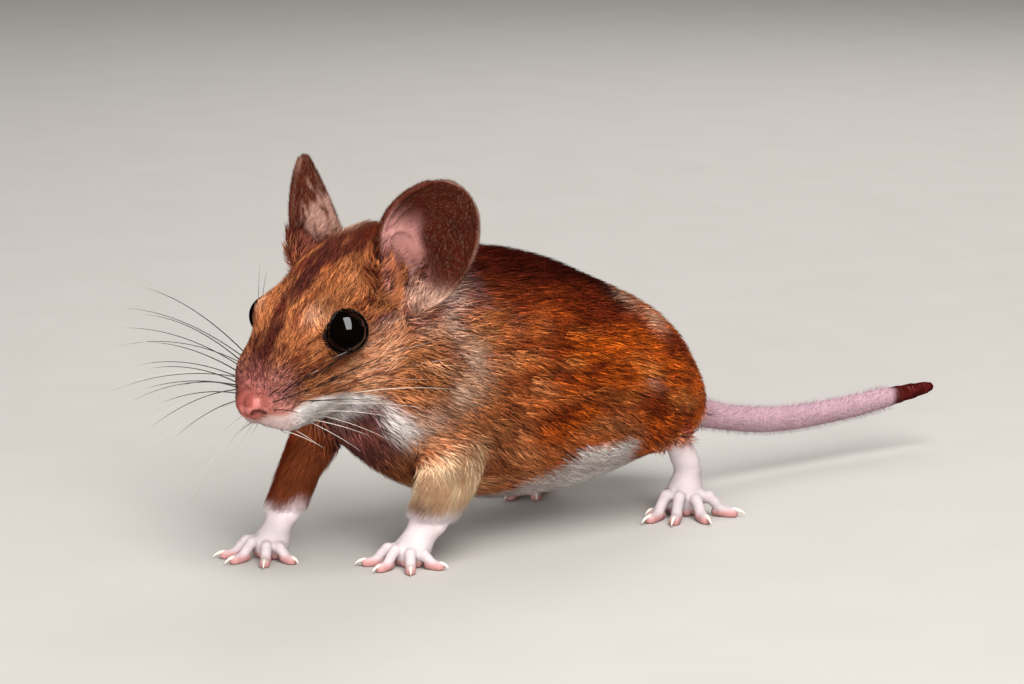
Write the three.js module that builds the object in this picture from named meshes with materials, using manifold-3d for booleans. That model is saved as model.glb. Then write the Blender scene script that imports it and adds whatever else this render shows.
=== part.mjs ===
// A wood mouse (Apodemus sylvaticus) as a life-size still model, standing on four feet with its
// head low and level, one hind foot back, and a short tail held clear of the ground.
// Millimetres, +Z up. The mouse faces -Y and its left side is +X. The outer surface is the coat's.
// The body is modelled whole, then parted by thin cuts into the pieces that a person would name.

import * as THREE from "three";
import { mergeVertices } from "three/addons/utils/BufferGeometryUtils.js";
import Module from "manifold-3d";

const wasm = await Module();
wasm.setup();

// Driving dimensions ------------------------------------------------------------------------

const GAP = 0.3; // between neighbouring pieces
const FLOOR = 0; // the height at which the soles and toes are pressed flat
const UP = new THREE.Vector3(0, 0, 1);
const BACK = new THREE.Vector3(0, 1, 0);

// The head's own frame: forward, left and up, from the point midway between the eyes.
const HEAD_AT = [-0.8, -5.6, 30];
const HEAD_YAW = 5; // degrees towards the left
const HEAD_DIP = 27; // degrees, nose down
const EYE_RADIUS = 2.65;
const EYE_OUT = 6.8; // from the midline to the centre of an eye

const EAR_LENGTH = 14.4;
const EAR_THICK = 0.7;

const COLOURS = {
  coat: 0xa9632f,
  pale: 0xd9cfc4,
  skin: 0xe6b9b0,
  nose: 0xc7605c,
  ear: 0x5a3023,
  eye: 0x0a0808,
  raw: 0x8f2326,
};

// Shape helpers -----------------------------------------------------------------------------

const vec = (p) => new THREE.Vector3(...p);
const radians = THREE.MathUtils.degToRad;

/** Rows of numbers, each starting with its place, as a smooth function of that place. */
function smooth(rows) {
  const size = rows[0].length - 1;
  const places = rows.map((row) => row[0]);
  const values = rows.flatMap((row) => row.slice(1));
  const curve = new THREE.CubicInterpolant(places, values, size);
  return (place) => [...curve.evaluate(place)];
}

/** Places from first to last, closer together near the ends, where a form rounds over. */
function spread(first, last, count) {
  const at = (i) => (1 - Math.cos((Math.PI * i) / (count - 1))) / 2;
  const eased = (i) => 0.5 * at(i) + (0.5 * i) / (count - 1);
  return Array.from({ length: count }, (_, i) => first + (last - first) * eased(i));
}

/** A closed surface through rings of points, with a fan over each end. */
function loft(rings) {
  const sides = rings[0].length;
  const points = rings.flat().flatMap((p) => [p.x, p.y, p.z]);
  const faces = [];
  for (let r = 0; r + 1 < rings.length; r += 1) {
    for (let s = 0; s < sides; s += 1) {
      const a = r * sides + s;
      const b = r * sides + ((s + 1) % sides);
      faces.push(a, a + sides, b, b, a + sides, b + sides);
    }
  }
  for (const last of [false, true]) {
    const ring = last ? rings.length - 1 : 0;
    const centre = points.length / 3;
    const middle = rings[ring].reduce((sum, p) => sum.add(p), new THREE.Vector3());
    middle.divideScalar(sides);
    points.push(middle.x, middle.y, middle.z);
    for (let s = 0; s < sides; s += 1) {
      const a = ring * sides + s;
      const b = ring * sides + ((s + 1) % sides);
      faces.push(...(last ? [centre, b, a] : [centre, a, b]));
    }
  }
  const geometry = new THREE.BufferGeometry();
  geometry.setAttribute("position", new THREE.Float32BufferAttribute(points, 3));
  geometry.setIndex(faces);
  return geometry;
}

/** A geometry as a manifold-3d solid, turned right side out if need be. */
function solid(geometry) {
  const bare = new THREE.BufferGeometry();
  bare.setAttribute("position", geometry.getAttribute("position"));
  if (geometry.index) bare.setIndex(geometry.index);
  const merged = mergeVertices(bare, 1e-4);
  const make = (triVerts) =>
    new wasm.Manifold(
      new wasm.Mesh({
        numProp: 3,
        vertProperties: new Float32Array(merged.attributes.position.array),
        triVerts,
      }),
    );
  const found = make(new Uint32Array(merged.index.array));
  return found.volume() > 0 ? found : make(new Uint32Array([...merged.index.array].reverse()));
}

/** A manifold-3d solid as a geometry. */
function geometryOf(body) {
  const { vertProperties, triVerts } = body.getMesh();
  const geometry = new THREE.BufferGeometry();
  geometry.setAttribute("position", new THREE.Float32BufferAttribute(vertProperties, 3));
  geometry.setIndex([...triVerts]);
  const flat = geometry.toNonIndexed();
  flat.computeVertexNormals();
  return flat;
}

/** Several solids joined. */
const join = (...solids) => solids.reduce((sum, next) => sum.add(next));

/** The largest piece of a solid, without specks that a cut may leave or a hollow inside it. */
function largest(body) {
  return body.decompose().reduce((best, next) => (next.volume() > best.volume() ? next : best));
}

/** One egg-shaped ring: half its width, top, bottom, and how far its lower part is wider. */
function oval(place, sides, grow, [half, top, bottom, pear = 0]) {
  const middle = (top + bottom) / 2;
  const rise = (top - bottom) / 2 + grow;
  return Array.from({ length: sides }, (_, i) => {
    const angle = (2 * Math.PI * i) / sides;
    const side = (half + grow) * Math.cos(angle) * (1 - pear * Math.sin(angle));
    return place(side, middle + rise * Math.sin(angle));
  });
}

/** A round-ended tube through points, each row [x, y, z, radius across, radius through]. */
function limb(rows, sides = 12, steps = 9, across = UP) {
  const curve = new THREE.CatmullRomCurve3(rows.map((row) => vec(row.slice(0, 3))));
  const sizes = smooth(rows.map((row, i) => [i / (rows.length - 1), row[3], row[4] ?? row[3]]));
  const length = curve.getLength();
  const rings = spread(0, 1, steps).map((t) => {
    const [wide, thick] = sizes(t);
    const toEnd = (Math.min(t, 1 - t) * length) / Math.min(wide, thick);
    const cap = toEnd < 1 ? Math.sqrt(Math.max(0.12, 1 - (1 - toEnd) ** 2)) : 1;
    const at = curve.getPoint(t);
    const along = curve.getTangent(t);
    const side = new THREE.Vector3().crossVectors(along, across).normalize();
    const lift = new THREE.Vector3().crossVectors(side, along);
    return Array.from({ length: sides }, (_, i) => {
      const angle = (2 * Math.PI * i) / sides;
      return at
        .clone()
        .addScaledVector(side, cap * wide * Math.cos(angle))
        .addScaledVector(lift, cap * thick * Math.sin(angle));
    });
  });
  return solid(loft(rings));
}

/** A ball stretched to three radii, turned, and put in its place. */
function ball(at, radii, [wide, tall] = [18, 12], turn = new THREE.Matrix4()) {
  const geometry = new THREE.SphereGeometry(1, wide, tall);
  geometry.scale(...radii).applyMatrix4(turn).translate(...at);
  return solid(geometry);
}

/** Everything on one side of a plane: the side that the arrow points to, starting at a point. */
function beyond(at, arrow, start = 0) {
  const reach = 80;
  const geometry = new THREE.BoxGeometry(2 * reach, reach, 2 * reach);
  geometry.translate(0, reach / 2 + start, 0);
  const turn = new THREE.Quaternion();
  turn.setFromUnitVectors(new THREE.Vector3(0, 1, 0), vec(arrow).normalize());
  return solid(geometry.applyQuaternion(turn).translate(...at));
}

/** A body parted across a plane: what lies ahead of it, and what lies behind, a gap apart. */
function part(body, at, arrow) {
  const ahead = body.intersect(beyond(at, arrow));
  const behind = body.subtract(beyond(at, arrow, -GAP));
  return [largest(ahead), largest(behind)];
}

// Trunk and neck ----------------------------------------------------------------------------

// Rows: y, half width, top, bottom, pear. The last row is the rounded rump over the tail.
const TRUNK = smooth([
  [-3.5, 7.0, 34.6, 18.0, 0],
  [0, 8.8, 37.0, 13.8, 0.04],
  [4, 10.0, 38.0, 9.8, 0.06],
  [9, 11.2, 38.2, 7.0, 0.08],
  [16, 12.2, 38.0, 5.0, 0.1],
  [24, 13.0, 36.8, 3.7, 0.12],
  [33, 13.6, 34.0, 3.6, 0.12],
  [41, 13.5, 29.4, 5.4, 0.1],
  [47, 12.2, 24.8, 6.6, 0.06],
  [51.5, 9.8, 20.6, 7.0, 0.02],
  [55, 6.6, 16.4, 7.4, 0],
  [57.2, 2.6, 13.2, 8.8, 0],
]);

function trunk(grow) {
  const place = (x, z) => (y) => vec([x, y, z]);
  const rings = spread(-3.5 - grow, 57.2 + grow, 13).map((y) =>
    oval(place, 20, grow, TRUNK(y)).map((at) => at(y)),
  );
  return solid(loft(rings));
}

// Head --------------------------------------------------------------------------------------

const yaw = radians(HEAD_YAW);
const dip = radians(HEAD_DIP);
const FORWARD = vec([Math.sin(yaw) * Math.cos(dip), -Math.cos(yaw) * Math.cos(dip), -Math.sin(dip)]);
const LEFT = vec([Math.cos(yaw), Math.sin(yaw), 0]);
const CROWN = new THREE.Vector3().crossVectors(FORWARD, LEFT);

const headFrame = new THREE.Matrix4().makeBasis(FORWARD, LEFT, CROWN);
const inHead = headFrame.clone().setPosition(...HEAD_AT);
const headPoint = (forward, left, up) => vec([forward, left, up]).applyMatrix4(inHead);

// Rows: forward, half width, top, bottom, pear. The last rows round over at the muzzle's end.
const HEAD = smooth([
  [-17, 6.6, 4.6, -11.0, 0.1],
  [-13, 8.2, 6.4, -13.0, 0.14],
  [-9, 9.0, 6.9, -13.4, 0.16],
  [-5, 8.9, 6.0, -12.9, 0.14],
  [-1, 8.1, 4.9, -12.1, 0.1],
  [2.5, 7.3, 3.7, -11.4, 0.06],
  [6, 6.7, 1.8, -10.5, 0.04],
  [9, 5.6, -0.3, -9.3, 0.02],
  [11, 4.3, -1.7, -7.9, 0],
  [12.2, 2.7, -2.8, -6.6, 0],
  [12.9, 0.9, -3.9, -5.4, 0],
]);

/** A pair of solids, one on each side of the head. */
const pair = (make) => join(make(1), make(-1));

function head(grow) {
  const rings = spread(-17, 12.9 + grow, 14).map((forward) =>
    oval((side, up) => headPoint(forward, side, up), 18, grow, HEAD(Math.min(forward, 12.9))),
  );
  const brow = (side) =>
    ball(headPoint(-0.4, side * 4.8, -0.1), [4.4 + grow, 2.9 + grow, 3.6 + grow], [12, 8], headFrame);
  const pad = (side) =>
    ball(headPoint(8.6, side * 2.7, -5.4), [3.7 + grow, 3.0 + grow, 3.2 + grow], [10, 8], headFrame);
  return join(solid(loft(rings)), pair(brow), pair(pad));
}

const eyeAt = (side) => headPoint(0, side * EYE_OUT, 0);

function nose() {
  const lobe = (side) => ball(headPoint(12.0, side * 0.75, -3.7), [1.5, 1.35, 1.75], [8, 6], headFrame);
  return pair(lobe);
}

// Ears --------------------------------------------------------------------------------------

// An ear's rise from root to tip and the way its cup opens, in the upright frame of the head.
const EAR_ROOT = [-9.6, 7.0, 4.3]; // ahead, left, up
const EAR_RISE = [-0.143, 0.37, 0.92];
const EAR_FACE = [0.68, 0.73, 0];

// Rows: share of the length, inner edge, outer edge, depth of the cup.
const EAR = smooth([
  [-0.16, -1.6, 2.4, 4.6],
  [0, -2.6, 3.6, 6.4],
  [0.1, -3.4, 4.6, 6.8],
  [0.26, -4.6, 5.6, 6.2],
  [0.48, -5.5, 6.1, 4.7],
  [0.68, -5.0, 5.9, 3.2],
  [0.84, -3.4, 4.8, 2.0],
  [0.95, -1.8, 3.0, 0.9],
  [1, 0.0, 1.1, 0.35],
]);

const levelFrame = new THREE.Matrix4().makeRotationZ(yaw - Math.PI / 2).setPosition(...HEAD_AT);

/** An ear's own frame, at its root: towards its opening, across to its rear edge, and its rise. */
function earFrame(side) {
  const mirror = ([ahead, left, up]) => vec([ahead, side * left, up]);
  const rise = mirror(EAR_RISE).normalize();
  const face = mirror(EAR_FACE);
  face.addScaledVector(rise, -face.dot(rise)).normalize();
  const across = new THREE.Vector3().crossVectors(rise, face).multiplyScalar(side);
  const frame = new THREE.Matrix4().makeBasis(face, across, rise);
  return frame.setPosition(mirror(EAR_ROOT)).premultiply(levelFrame);
}

function ear(side) {
  const frame = earFrame(side);
  const half = 8; // points along each face of the sheet
  const rings = spread(-0.16, 1, 11).map((share) => {
    const [inner, outer, depth] = EAR(share);
    const point = (i, back) => {
      const t = i / (half - 1);
      const bow = Math.sin(Math.PI * t ** 0.9);
      const thick = EAR_THICK * (0.45 + 0.55 * bow);
      const sunk = depth * (bow - 0.6) + back * thick;
      return vec([-sunk, inner + (outer - inner) * t, EAR_LENGTH * share]).applyMatrix4(frame);
    };
    const front = Array.from({ length: half }, (_, i) => point(i, 0));
    const rear = Array.from({ length: half }, (_, i) => point(half - 1 - i, 1));
    return [...front, ...rear];
  });
  return solid(loft(rings));
}

/** The hollow in the side of the head that the ear's cup opens from. */
function cup(side, shrink) {
  const frame = earFrame(side);
  const radii = [4.8, 3.4, 5.2].map((r) => r - shrink);
  const geometry = new THREE.SphereGeometry(1, 10, 8).scale(...radii).translate(2.6, 0.9, 2.6);
  return solid(geometry.applyMatrix4(frame));
}

// Legs --------------------------------------------------------------------------------------

// Rows [x, y, z, radius across, radius through], from the shoulder or hip to the wrist or heel.
// Each leg is parted at its joint, a height, and ends where its foot begins.
const LEGS = {
  fore_left: {
    names: ["upper_arm_left", "forearm_left"],
    joint: 11,
    rows: [
      [5.6, 13, 21, 5.6, 7.6],
      [7.2, 10.5, 14.5, 4.8, 6.2],
      [8.2, 8.0, 8.6, 2.9, 3.7],
      [7.6, 4.8, 3.0, 1.9, 1.9],
    ],
  },
  fore_right: {
    names: ["upper_arm_right", "forearm_right"],
    joint: 12,
    rows: [
      [-5.6, 7, 21, 5.2, 6.6],
      [-7.4, 0.6, 14.5, 3.4, 3.9],
      [-7.6, -2.8, 8.6, 2.3, 2.4],
      [-6.9, -5.8, 3.0, 1.8, 1.8],
    ],
  },
  hind_left: {
    names: ["thigh_left", "shank_left"],
    joint: 9.6,
    rows: [
      [7.4, 41.2, 18, 7.4, 8.6],
      [9.7, 41.8, 12.2, 4.8, 5.6],
      [10.8, 45.4, 9.2, 2.0, 2.1],
      [10.7, 46.6, 4.4, 1.9, 1.9],
    ],
  },
  hind_right: {
    names: ["thigh_right", "shank_right"],
    joint: 8.2,
    rows: [
      [-7.8, 40.5, 17.5, 7.2, 8.6],
      [-10.6, 38.4, 11, 4.8, 5.6],
      [-11.6, 41.5, 7.2, 2.3, 2.5],
      [-11.6, 41.4, 3.6, 1.9, 1.9],
    ],
  },
};

// Feet: the wrist or heel, the ball of the foot and its size, the way the foot points in degrees
// from straight ahead towards the left, and toes as [angle, length, side step, knuckle's height].
const FEET = {
  fore_foot_left: {
    wrist: [7.7, 5.7, 4.6],
    middle: [7.5, 3.6, 1.6],
    heading: 22,
    size: [2.1, 2.0, 1.8],
    toes: [[-52, 3.7, -1.5, 2.0], [-14, 3.6, -0.6, 2.1], [30, 3.2, 0.7, 1.8], [98, 3.0, 1.4, 1.6]],
    radius: 0.74,
  },
  fore_foot_right: {
    wrist: [-7.1, -5.4, 4.6],
    middle: [-6.6, -7.4, 1.6],
    heading: 14,
    size: [2.1, 2.0, 1.8],
    toes: [[-38, 3.9, -1.5, 2.0], [-10, 4.0, -0.6, 2.1], [34, 3.6, 0.7, 1.8], [84, 3.0, 1.5, 1.6]],
    radius: 0.74,
  },
  hind_foot_left: {
    wrist: [10.7, 46.7, 6.4],
    middle: [10.6, 46.4, 2.1],
    heading: 50,
    size: [2.5, 2.3, 2.3],
    toes: [
      [-66, 2.6, -1.9, 1.6],
      [-38, 4.9, -1.6, 2.8],
      [-14, 4.6, -0.5, 2.7],
      [22, 4.2, 0.9, 2.3],
      [80, 4.4, 1.8, 2.4],
    ],
    radius: 0.84,
  },
  hind_foot_right: {
    wrist: [-11.7, 42.2, 5.2],
    middle: [-11.4, 39.4, 1.8],
    heading: -10,
    size: [2.4, 2.6, 2.0],
    toes: [
      [-66, 2.6, -1.9, 1.5],
      [-34, 4.2, -1.4, 2.1],
      [-2, 4.6, -0.1, 2.2],
      [28, 4.2, 1.2, 2.0],
      [66, 3.2, 1.9, 1.6],
    ],
    radius: 0.84,
  },
};

/** A toe from its knuckle to its tip, arched a little, with a small curved claw. */
function toe([x, y, z], angle, length, radius) {
  const turn = radians(angle);
  const at = (share, up) => [
    x + Math.sin(turn) * length * share,
    y - Math.cos(turn) * length * share,
    up,
  ];
  const flesh = limb([
    [...at(0, z), radius * 1.05],
    [...at(0.3, z + 0.1), radius * 0.98],
    [...at(0.66, radius * 0.72), radius * 0.92],
    [...at(1, radius * 0.5), radius * 0.9],
  ], 6, 5);
  const claw = limb([
    [...at(0.92, radius * 1.1), radius * 0.5],
    [...at(1.2, radius * 1.0), radius * 0.4],
    [...at(1.42, radius * 0.35), radius * 0.34],
  ], 4, 3);
  return join(flesh, claw);
}

function foot({ wrist, middle, heading, size, toes, radius }) {
  const turn = radians(heading);
  const rotation = new THREE.Matrix4().makeRotationZ(turn);
  const sole = ball(middle, size, [8, 6], rotation);
  const half = wrist.map((w, i) => (w + middle[i]) / 2);
  const above = wrist.map((w, i) => w + (w - middle[i]) * 1.3);
  const shaft = limb([
    [...above, size[0] * 0.95],
    [...wrist, size[0] * 0.9],
    [...half, size[0] * 0.88],
    [...middle, size[0] * 0.95, size[2] * 0.95],
  ], 8, 5, BACK);
  const digits = toes.map(([angle, length, step, height]) => {
    const ahead = size[1] * Math.sqrt(1 - (step / size[0]) ** 2) * 0.75;
    const knuckle = [
      middle[0] + Math.cos(turn) * step + Math.sin(turn) * ahead,
      middle[1] + Math.sin(turn) * step - Math.cos(turn) * ahead,
      height,
    ];
    return toe(knuckle, angle + heading, length, radius);
  });
  return join(sole, shaft, ...digits);
}

// Tail --------------------------------------------------------------------------------------

// Rows [x, y, z, radius]: it is short, and its last few millimetres are bare and raw.
const TAIL = [
  [0, 53, 12.0, 2.5],
  [0.1, 61, 9.1, 1.85],
  [0.8, 72, 7.0, 1.75],
  [1.8, 84, 6.9, 1.6],
  [2.8, 93, 7.6, 1.4],
  [3.8, 99.8, 8.2, 1.0],
];
const TAIL_CUTS = [74, 93.5];

// The whole, and its parting ----------------------------------------------------------------

const nodes = new Map();

const NOSE_PLANE = headPoint(11.2, 0, -3.2).toArray();
const NOSE_FACING = FORWARD.clone().multiplyScalar(0.82).addScaledVector(CROWN, 0.57).toArray();
const core = join(trunk(0), head(0)).subtract(pair((side) => cup(side, 0)));
const grown = join(trunk(GAP), head(GAP)).subtract(pair((side) => cup(side, GAP)));

const sockets = pair((side) => ball(eyeAt(side).toArray(), Array(3).fill(EYE_RADIUS + GAP), [14, 10]));
const [skull, body] = part(core, [0, 1.6, 27], [0, -0.91, 0.41]);
const [tip, face] = part(join(skull, nose()), NOSE_PLANE, NOSE_FACING);
nodes.set("nose", [tip, "nose"]);
nodes.set("head", [face.subtract(sockets), "coat"]);
for (const [name, side] of [["left", 1], ["right", -1]]) {
  nodes.set(`eye_${name}`, [ball(eyeAt(side).toArray(), Array(3).fill(EYE_RADIUS), [12, 8]), "eye"]);
  nodes.set(`ear_${name}`, [largest(ear(side).subtract(grown)), "ear"]);
}

const [neck, back] = part(body, [0, 8.6, 23], [0, -0.935, 0.355]);
const [chest, hind] = part(back, [0, 25, 20], [0, -1, 0.12]);
const [belly, rump] = part(hind, [0, 41, 18], [0, -1, 0]);
nodes.set("neck", [neck, "coat"]);
nodes.set("chest", [chest, "coat"]);
nodes.set("belly", [belly, "coat"]);
nodes.set("rump", [rump, "coat"]);

const feet = Object.fromEntries(Object.entries(FEET).map(([name, plan]) => [name, foot(plan)]));
const footOf = { fore_left: "fore_foot_left", fore_right: "fore_foot_right" };
footOf.hind_left = "hind_foot_left";
footOf.hind_right = "hind_foot_right";
for (const [key, { names, joint, rows }] of Object.entries(LEGS)) {
  const plan = FEET[footOf[key]];
  const shin = [plan.wrist, plan.middle].map(vec);
  const arrow = shin[1].clone().sub(shin[0]).toArray();
  const leg = join(limb(rows, 12, 8, BACK), feet[footOf[key]]);
  const free = largest(leg.subtract(grown));
  const [end, rest] = part(free, plan.wrist, arrow);
  const [lower, upper] = part(rest, [0, 0, joint], [0, 0, -1]);
  nodes.set(names[0], [upper, "coat"]);
  nodes.set(names[1], [lower, "skin"]);
  nodes.set(footOf[key], [largest(end.intersect(beyond([0, 0, FLOOR], [0, 0, 1]))), "skin"]);
}

const tail = largest(limb(TAIL, 10, 14).subtract(grown));
const [rear, tailBase] = part(tail, [0, TAIL_CUTS[0], 6.6], [0, 1, 0]);
const [tailTip, tailMiddle] = part(rear, [0, TAIL_CUTS[1], 6.6], [0, 1, 0]);
nodes.set("tail_base", [tailBase, "skin"]);
nodes.set("tail_middle", [tailMiddle, "skin"]);
nodes.set("tail_tip", [tailTip, "raw"]);

// The origin is put below the middle of the whole, on the floor.
const meshes = [...nodes].map(([name, [piece, colour]]) => {
  const material = new THREE.MeshStandardMaterial({
    color: COLOURS[colour],
    roughness: colour === "eye" ? 0.15 : 0.8,
    metalness: 0,
  });
  const mesh = new THREE.Mesh(geometryOf(piece), material);
  mesh.name = name;
  return mesh;
});
const root = new THREE.Group();
root.add(...meshes);
const box = new THREE.Box3().setFromObject(root);
const middle = box.getCenter(new THREE.Vector3());
meshes.forEach((mesh) => mesh.geometry.translate(-middle.x, -middle.y, -box.min.z));

export default root;
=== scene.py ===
"""A wood mouse as a life-size still model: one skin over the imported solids, with a coat of tufts.

Lengths are in millimetres until a mesh is made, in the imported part's frame, in which the mouse
faces -Y and its left side is +X. The skin is worked as a field of distances on a grid, so that the
solids join without a seam, and every tuft, lid and whisker is placed by reading that field.
"""

import math

import bpy
import numpy as np
import openvdb as vdb
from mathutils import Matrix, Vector


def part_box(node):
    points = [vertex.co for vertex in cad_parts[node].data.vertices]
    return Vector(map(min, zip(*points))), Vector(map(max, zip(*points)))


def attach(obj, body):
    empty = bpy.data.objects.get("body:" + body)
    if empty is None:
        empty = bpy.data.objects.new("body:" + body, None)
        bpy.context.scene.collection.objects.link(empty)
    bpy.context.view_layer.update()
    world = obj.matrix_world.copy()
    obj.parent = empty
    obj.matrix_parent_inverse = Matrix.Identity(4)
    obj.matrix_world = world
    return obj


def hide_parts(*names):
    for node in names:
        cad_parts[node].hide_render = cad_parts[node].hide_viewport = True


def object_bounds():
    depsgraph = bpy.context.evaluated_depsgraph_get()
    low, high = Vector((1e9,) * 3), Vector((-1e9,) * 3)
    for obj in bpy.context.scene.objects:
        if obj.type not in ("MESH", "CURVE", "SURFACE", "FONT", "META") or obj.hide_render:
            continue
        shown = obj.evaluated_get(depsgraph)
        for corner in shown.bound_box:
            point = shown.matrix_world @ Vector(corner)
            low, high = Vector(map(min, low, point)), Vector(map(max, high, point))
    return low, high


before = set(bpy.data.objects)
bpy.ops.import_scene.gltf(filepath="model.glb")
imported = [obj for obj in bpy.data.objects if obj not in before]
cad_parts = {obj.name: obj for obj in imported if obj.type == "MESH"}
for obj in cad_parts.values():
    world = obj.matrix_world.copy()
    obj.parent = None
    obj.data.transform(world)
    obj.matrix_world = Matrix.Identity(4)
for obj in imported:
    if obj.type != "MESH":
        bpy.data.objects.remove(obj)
CAD_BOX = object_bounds()
METRE = 0.001  # one millimetre, in metres
rng = np.random.default_rng(11)


# Vectors and curves ------------------------------------------------------------------------

def vec(*numbers):
    return np.array(numbers, float)


def unit(v):
    v = np.asarray(v, float)
    return v / np.maximum(np.linalg.norm(v, axis=-1, keepdims=True), 1e-9)


def turned(degrees):
    """The way an arrow points after a turn about the vertical, from straight ahead (-Y)."""
    angle = math.radians(degrees)
    return vec(math.sin(angle), -math.cos(angle), 0)


def smoothstep(low, high, x):
    t = np.clip((x - low) / (high - low), 0, 1)
    return t * t * (3 - 2 * t)


def bell(x, middle, width):
    return np.exp(-(((x - middle) / width) ** 2))


def table(rows):
    """Rows that each start with their place, as a function that runs smoothly through them."""
    rows = np.array(rows, float)
    places, values = rows[:, 0], rows[:, 1:]
    slopes = np.gradient(values, places, axis=0)

    def at(place):
        place = np.clip(np.atleast_1d(np.asarray(place, float)), places[0], places[-1])
        i = np.clip(np.searchsorted(places, place, "right") - 1, 0, len(places) - 2)
        wide = places[i + 1] - places[i]
        t = ((place - places[i]) / wide)[:, None]
        wide = wide[:, None]
        return (
            (2 * t**3 - 3 * t**2 + 1) * values[i]
            + (t**3 - 2 * t**2 + t) * wide * slopes[i]
            + (3 * t**2 - 2 * t**3) * values[i + 1]
            + (t**3 - t**2) * wide * slopes[i + 1]
        )

    return at


def through(points, count):
    """A smooth line through a few points, as count points."""
    points = np.array(points, float)
    if len(points) == 2:
        return points[0] + (points[1] - points[0]) * np.linspace(0, 1, count)[:, None]
    return table(np.column_stack([np.arange(len(points)), points]))(
        np.linspace(0, len(points) - 1, count)
    )


def round_quads(rows, around):
    """The quads between rows of points that each run once round."""
    i, j = np.meshgrid(np.arange(rows - 1), np.arange(around), indexing="ij")
    a, b = (i * around + j).ravel(), (i * around + (j + 1) % around).ravel()
    return np.column_stack([a, a + around, b + around, b])


def closed_tube(rows, around):
    """The triangles of rows of points run round, with one more point at each end."""
    a, c, d, b = round_quads(rows, around).T
    j = np.arange(around)
    k, last = (j + 1) % around, (rows - 1) * around
    first_end, last_end = np.full(around, rows * around), np.full(around, rows * around + 1)
    return np.concatenate([
        np.column_stack([a, b, d]),
        np.column_stack([a, d, c]),
        np.column_stack([first_end, k, j]),
        np.column_stack([last_end, last + j, last + k]),
    ])


# The frame's places ------------------------------------------------------------------------

def corners(node):
    low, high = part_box(node)
    return np.array(low) / METRE, np.array(high) / METRE


def centre(node):
    return sum(corners(node)) / 2


EYES = {1: centre("eye_left"), -1: centre("eye_right")}
EYE_RADIUS = float(np.ptp(np.array(corners("eye_left"))[:, 2])) / 2
BETWEEN_EYES = (EYES[1] + EYES[-1]) / 2
HEAD_DIP = 27  # degrees, nose down
LEFT = unit(EYES[1] - EYES[-1])
LEVEL_AHEAD = vec(LEFT[1], -LEFT[0], 0)
FORWARD = LEVEL_AHEAD * math.cos(math.radians(HEAD_DIP)) - vec(0, 0, math.sin(math.radians(HEAD_DIP)))
CROWN = np.cross(FORWARD, LEFT)
HEAD_AXES = np.array([FORWARD, LEFT, CROWN])
SHIFT = BETWEEN_EYES - vec(-0.8, -5.6, 30)  # from the solids' own working places to the frame's


def head_point(forward, left, up):
    return BETWEEN_EYES + vec(forward, left, up) @ HEAD_AXES


def in_head(points):
    return (points - BETWEEN_EYES) @ HEAD_AXES.T


# Fields of distance ------------------------------------------------------------------------

COARSE = 0.6
FINER = 3  # fine steps in a coarse one
FINE = COARSE / FINER
MARGIN = 3.6


class Grid:
    """A regular grid of points, a step apart, that starts a whole number of steps from 0."""

    def __init__(self, step, first, shape):
        self.step = step
        self.first = np.array(first, int)
        self.shape = tuple(int(n) for n in shape)

    def low(self):
        return self.first * self.step

    def cropped(self, low, high):
        """The slices of this grid between two corners, and the grid that they make."""
        start = np.floor(np.array(low) / self.step).astype(int) - self.first
        stop = np.ceil(np.array(high) / self.step).astype(int) - self.first + 1
        start, stop = np.maximum(start, 0), np.minimum(stop, self.shape)
        slices = tuple(slice(a, b) for a, b in zip(start, stop))
        return slices, Grid(self.step, self.first + start, stop - start)

    def window(self, low, high):
        """The slices of this grid between two corners, and the coordinates of its points there."""
        slices, local = self.cropped(low, high)
        return slices, local.places()

    def places(self):
        """The coordinates of every point."""
        lines = [(np.arange(n) + f) * self.step for n, f in zip(self.shape, self.first)]
        return np.stack(np.meshgrid(*lines, indexing="ij"), -1).astype(np.float32)


class Field:
    """Values on a grid, read at any point between its points."""

    def __init__(self, grid, values):
        self.grid = grid
        self.values = values

    def at(self, points):
        where = (points - self.grid.low()) / self.grid.step
        where = np.clip(where, 0, np.array(self.grid.shape) - 1.001)
        i = where.astype(int)
        part = where - i
        total = 0
        for corner in np.ndindex(2, 2, 2):
            share = np.prod(np.where(corner, part, 1 - part), axis=-1)
            total = total + share * self.values[
                i[:, 0] + corner[0], i[:, 1] + corner[1], i[:, 2] + corner[2]
            ]
        return total

    def slope(self, points, reach=0.3):
        steps = np.eye(3) * reach
        return unit(np.stack([self.at(points + s) - self.at(points - s) for s in steps], -1))

    def lifted(self, points, height=0.0, times=2, reach=0.3):
        """Points moved along the slope to a height over the surface."""
        points = np.array(points, float)
        for _ in range(times):
            points = points + self.slope(points, reach) * (height - self.at(points))[:, None]
        return points


def surface(node):
    """A CAD node's points and triangles."""
    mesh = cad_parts[node].data
    points = np.empty(len(mesh.vertices) * 3, np.float32)
    mesh.vertices.foreach_get("co", points)
    mesh.calc_loop_triangles()
    faces = np.empty(len(mesh.loop_triangles) * 3, np.int32)
    mesh.loop_triangles.foreach_get("vertices", faces)
    return points.reshape(-1, 3) / METRE, faces.reshape(-1, 3)


def distances(grid, points, faces, reach):
    """Signed distances from a closed surface, true within reach of it."""
    kind = "triangles" if faces.shape[1] == 3 else "quads"
    made = vdb.FloatGrid.createLevelSetFromPolygons(
        points.astype(np.float32),
        **{kind: faces.astype(np.uint32)},
        transform=vdb.createLinearTransform(voxelSize=grid.step),
        halfWidth=reach / grid.step,
    )
    values = np.empty(grid.shape, np.float32)
    made.copyToArray(values, ijk=tuple(int(n) for n in grid.first))
    return values


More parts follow.
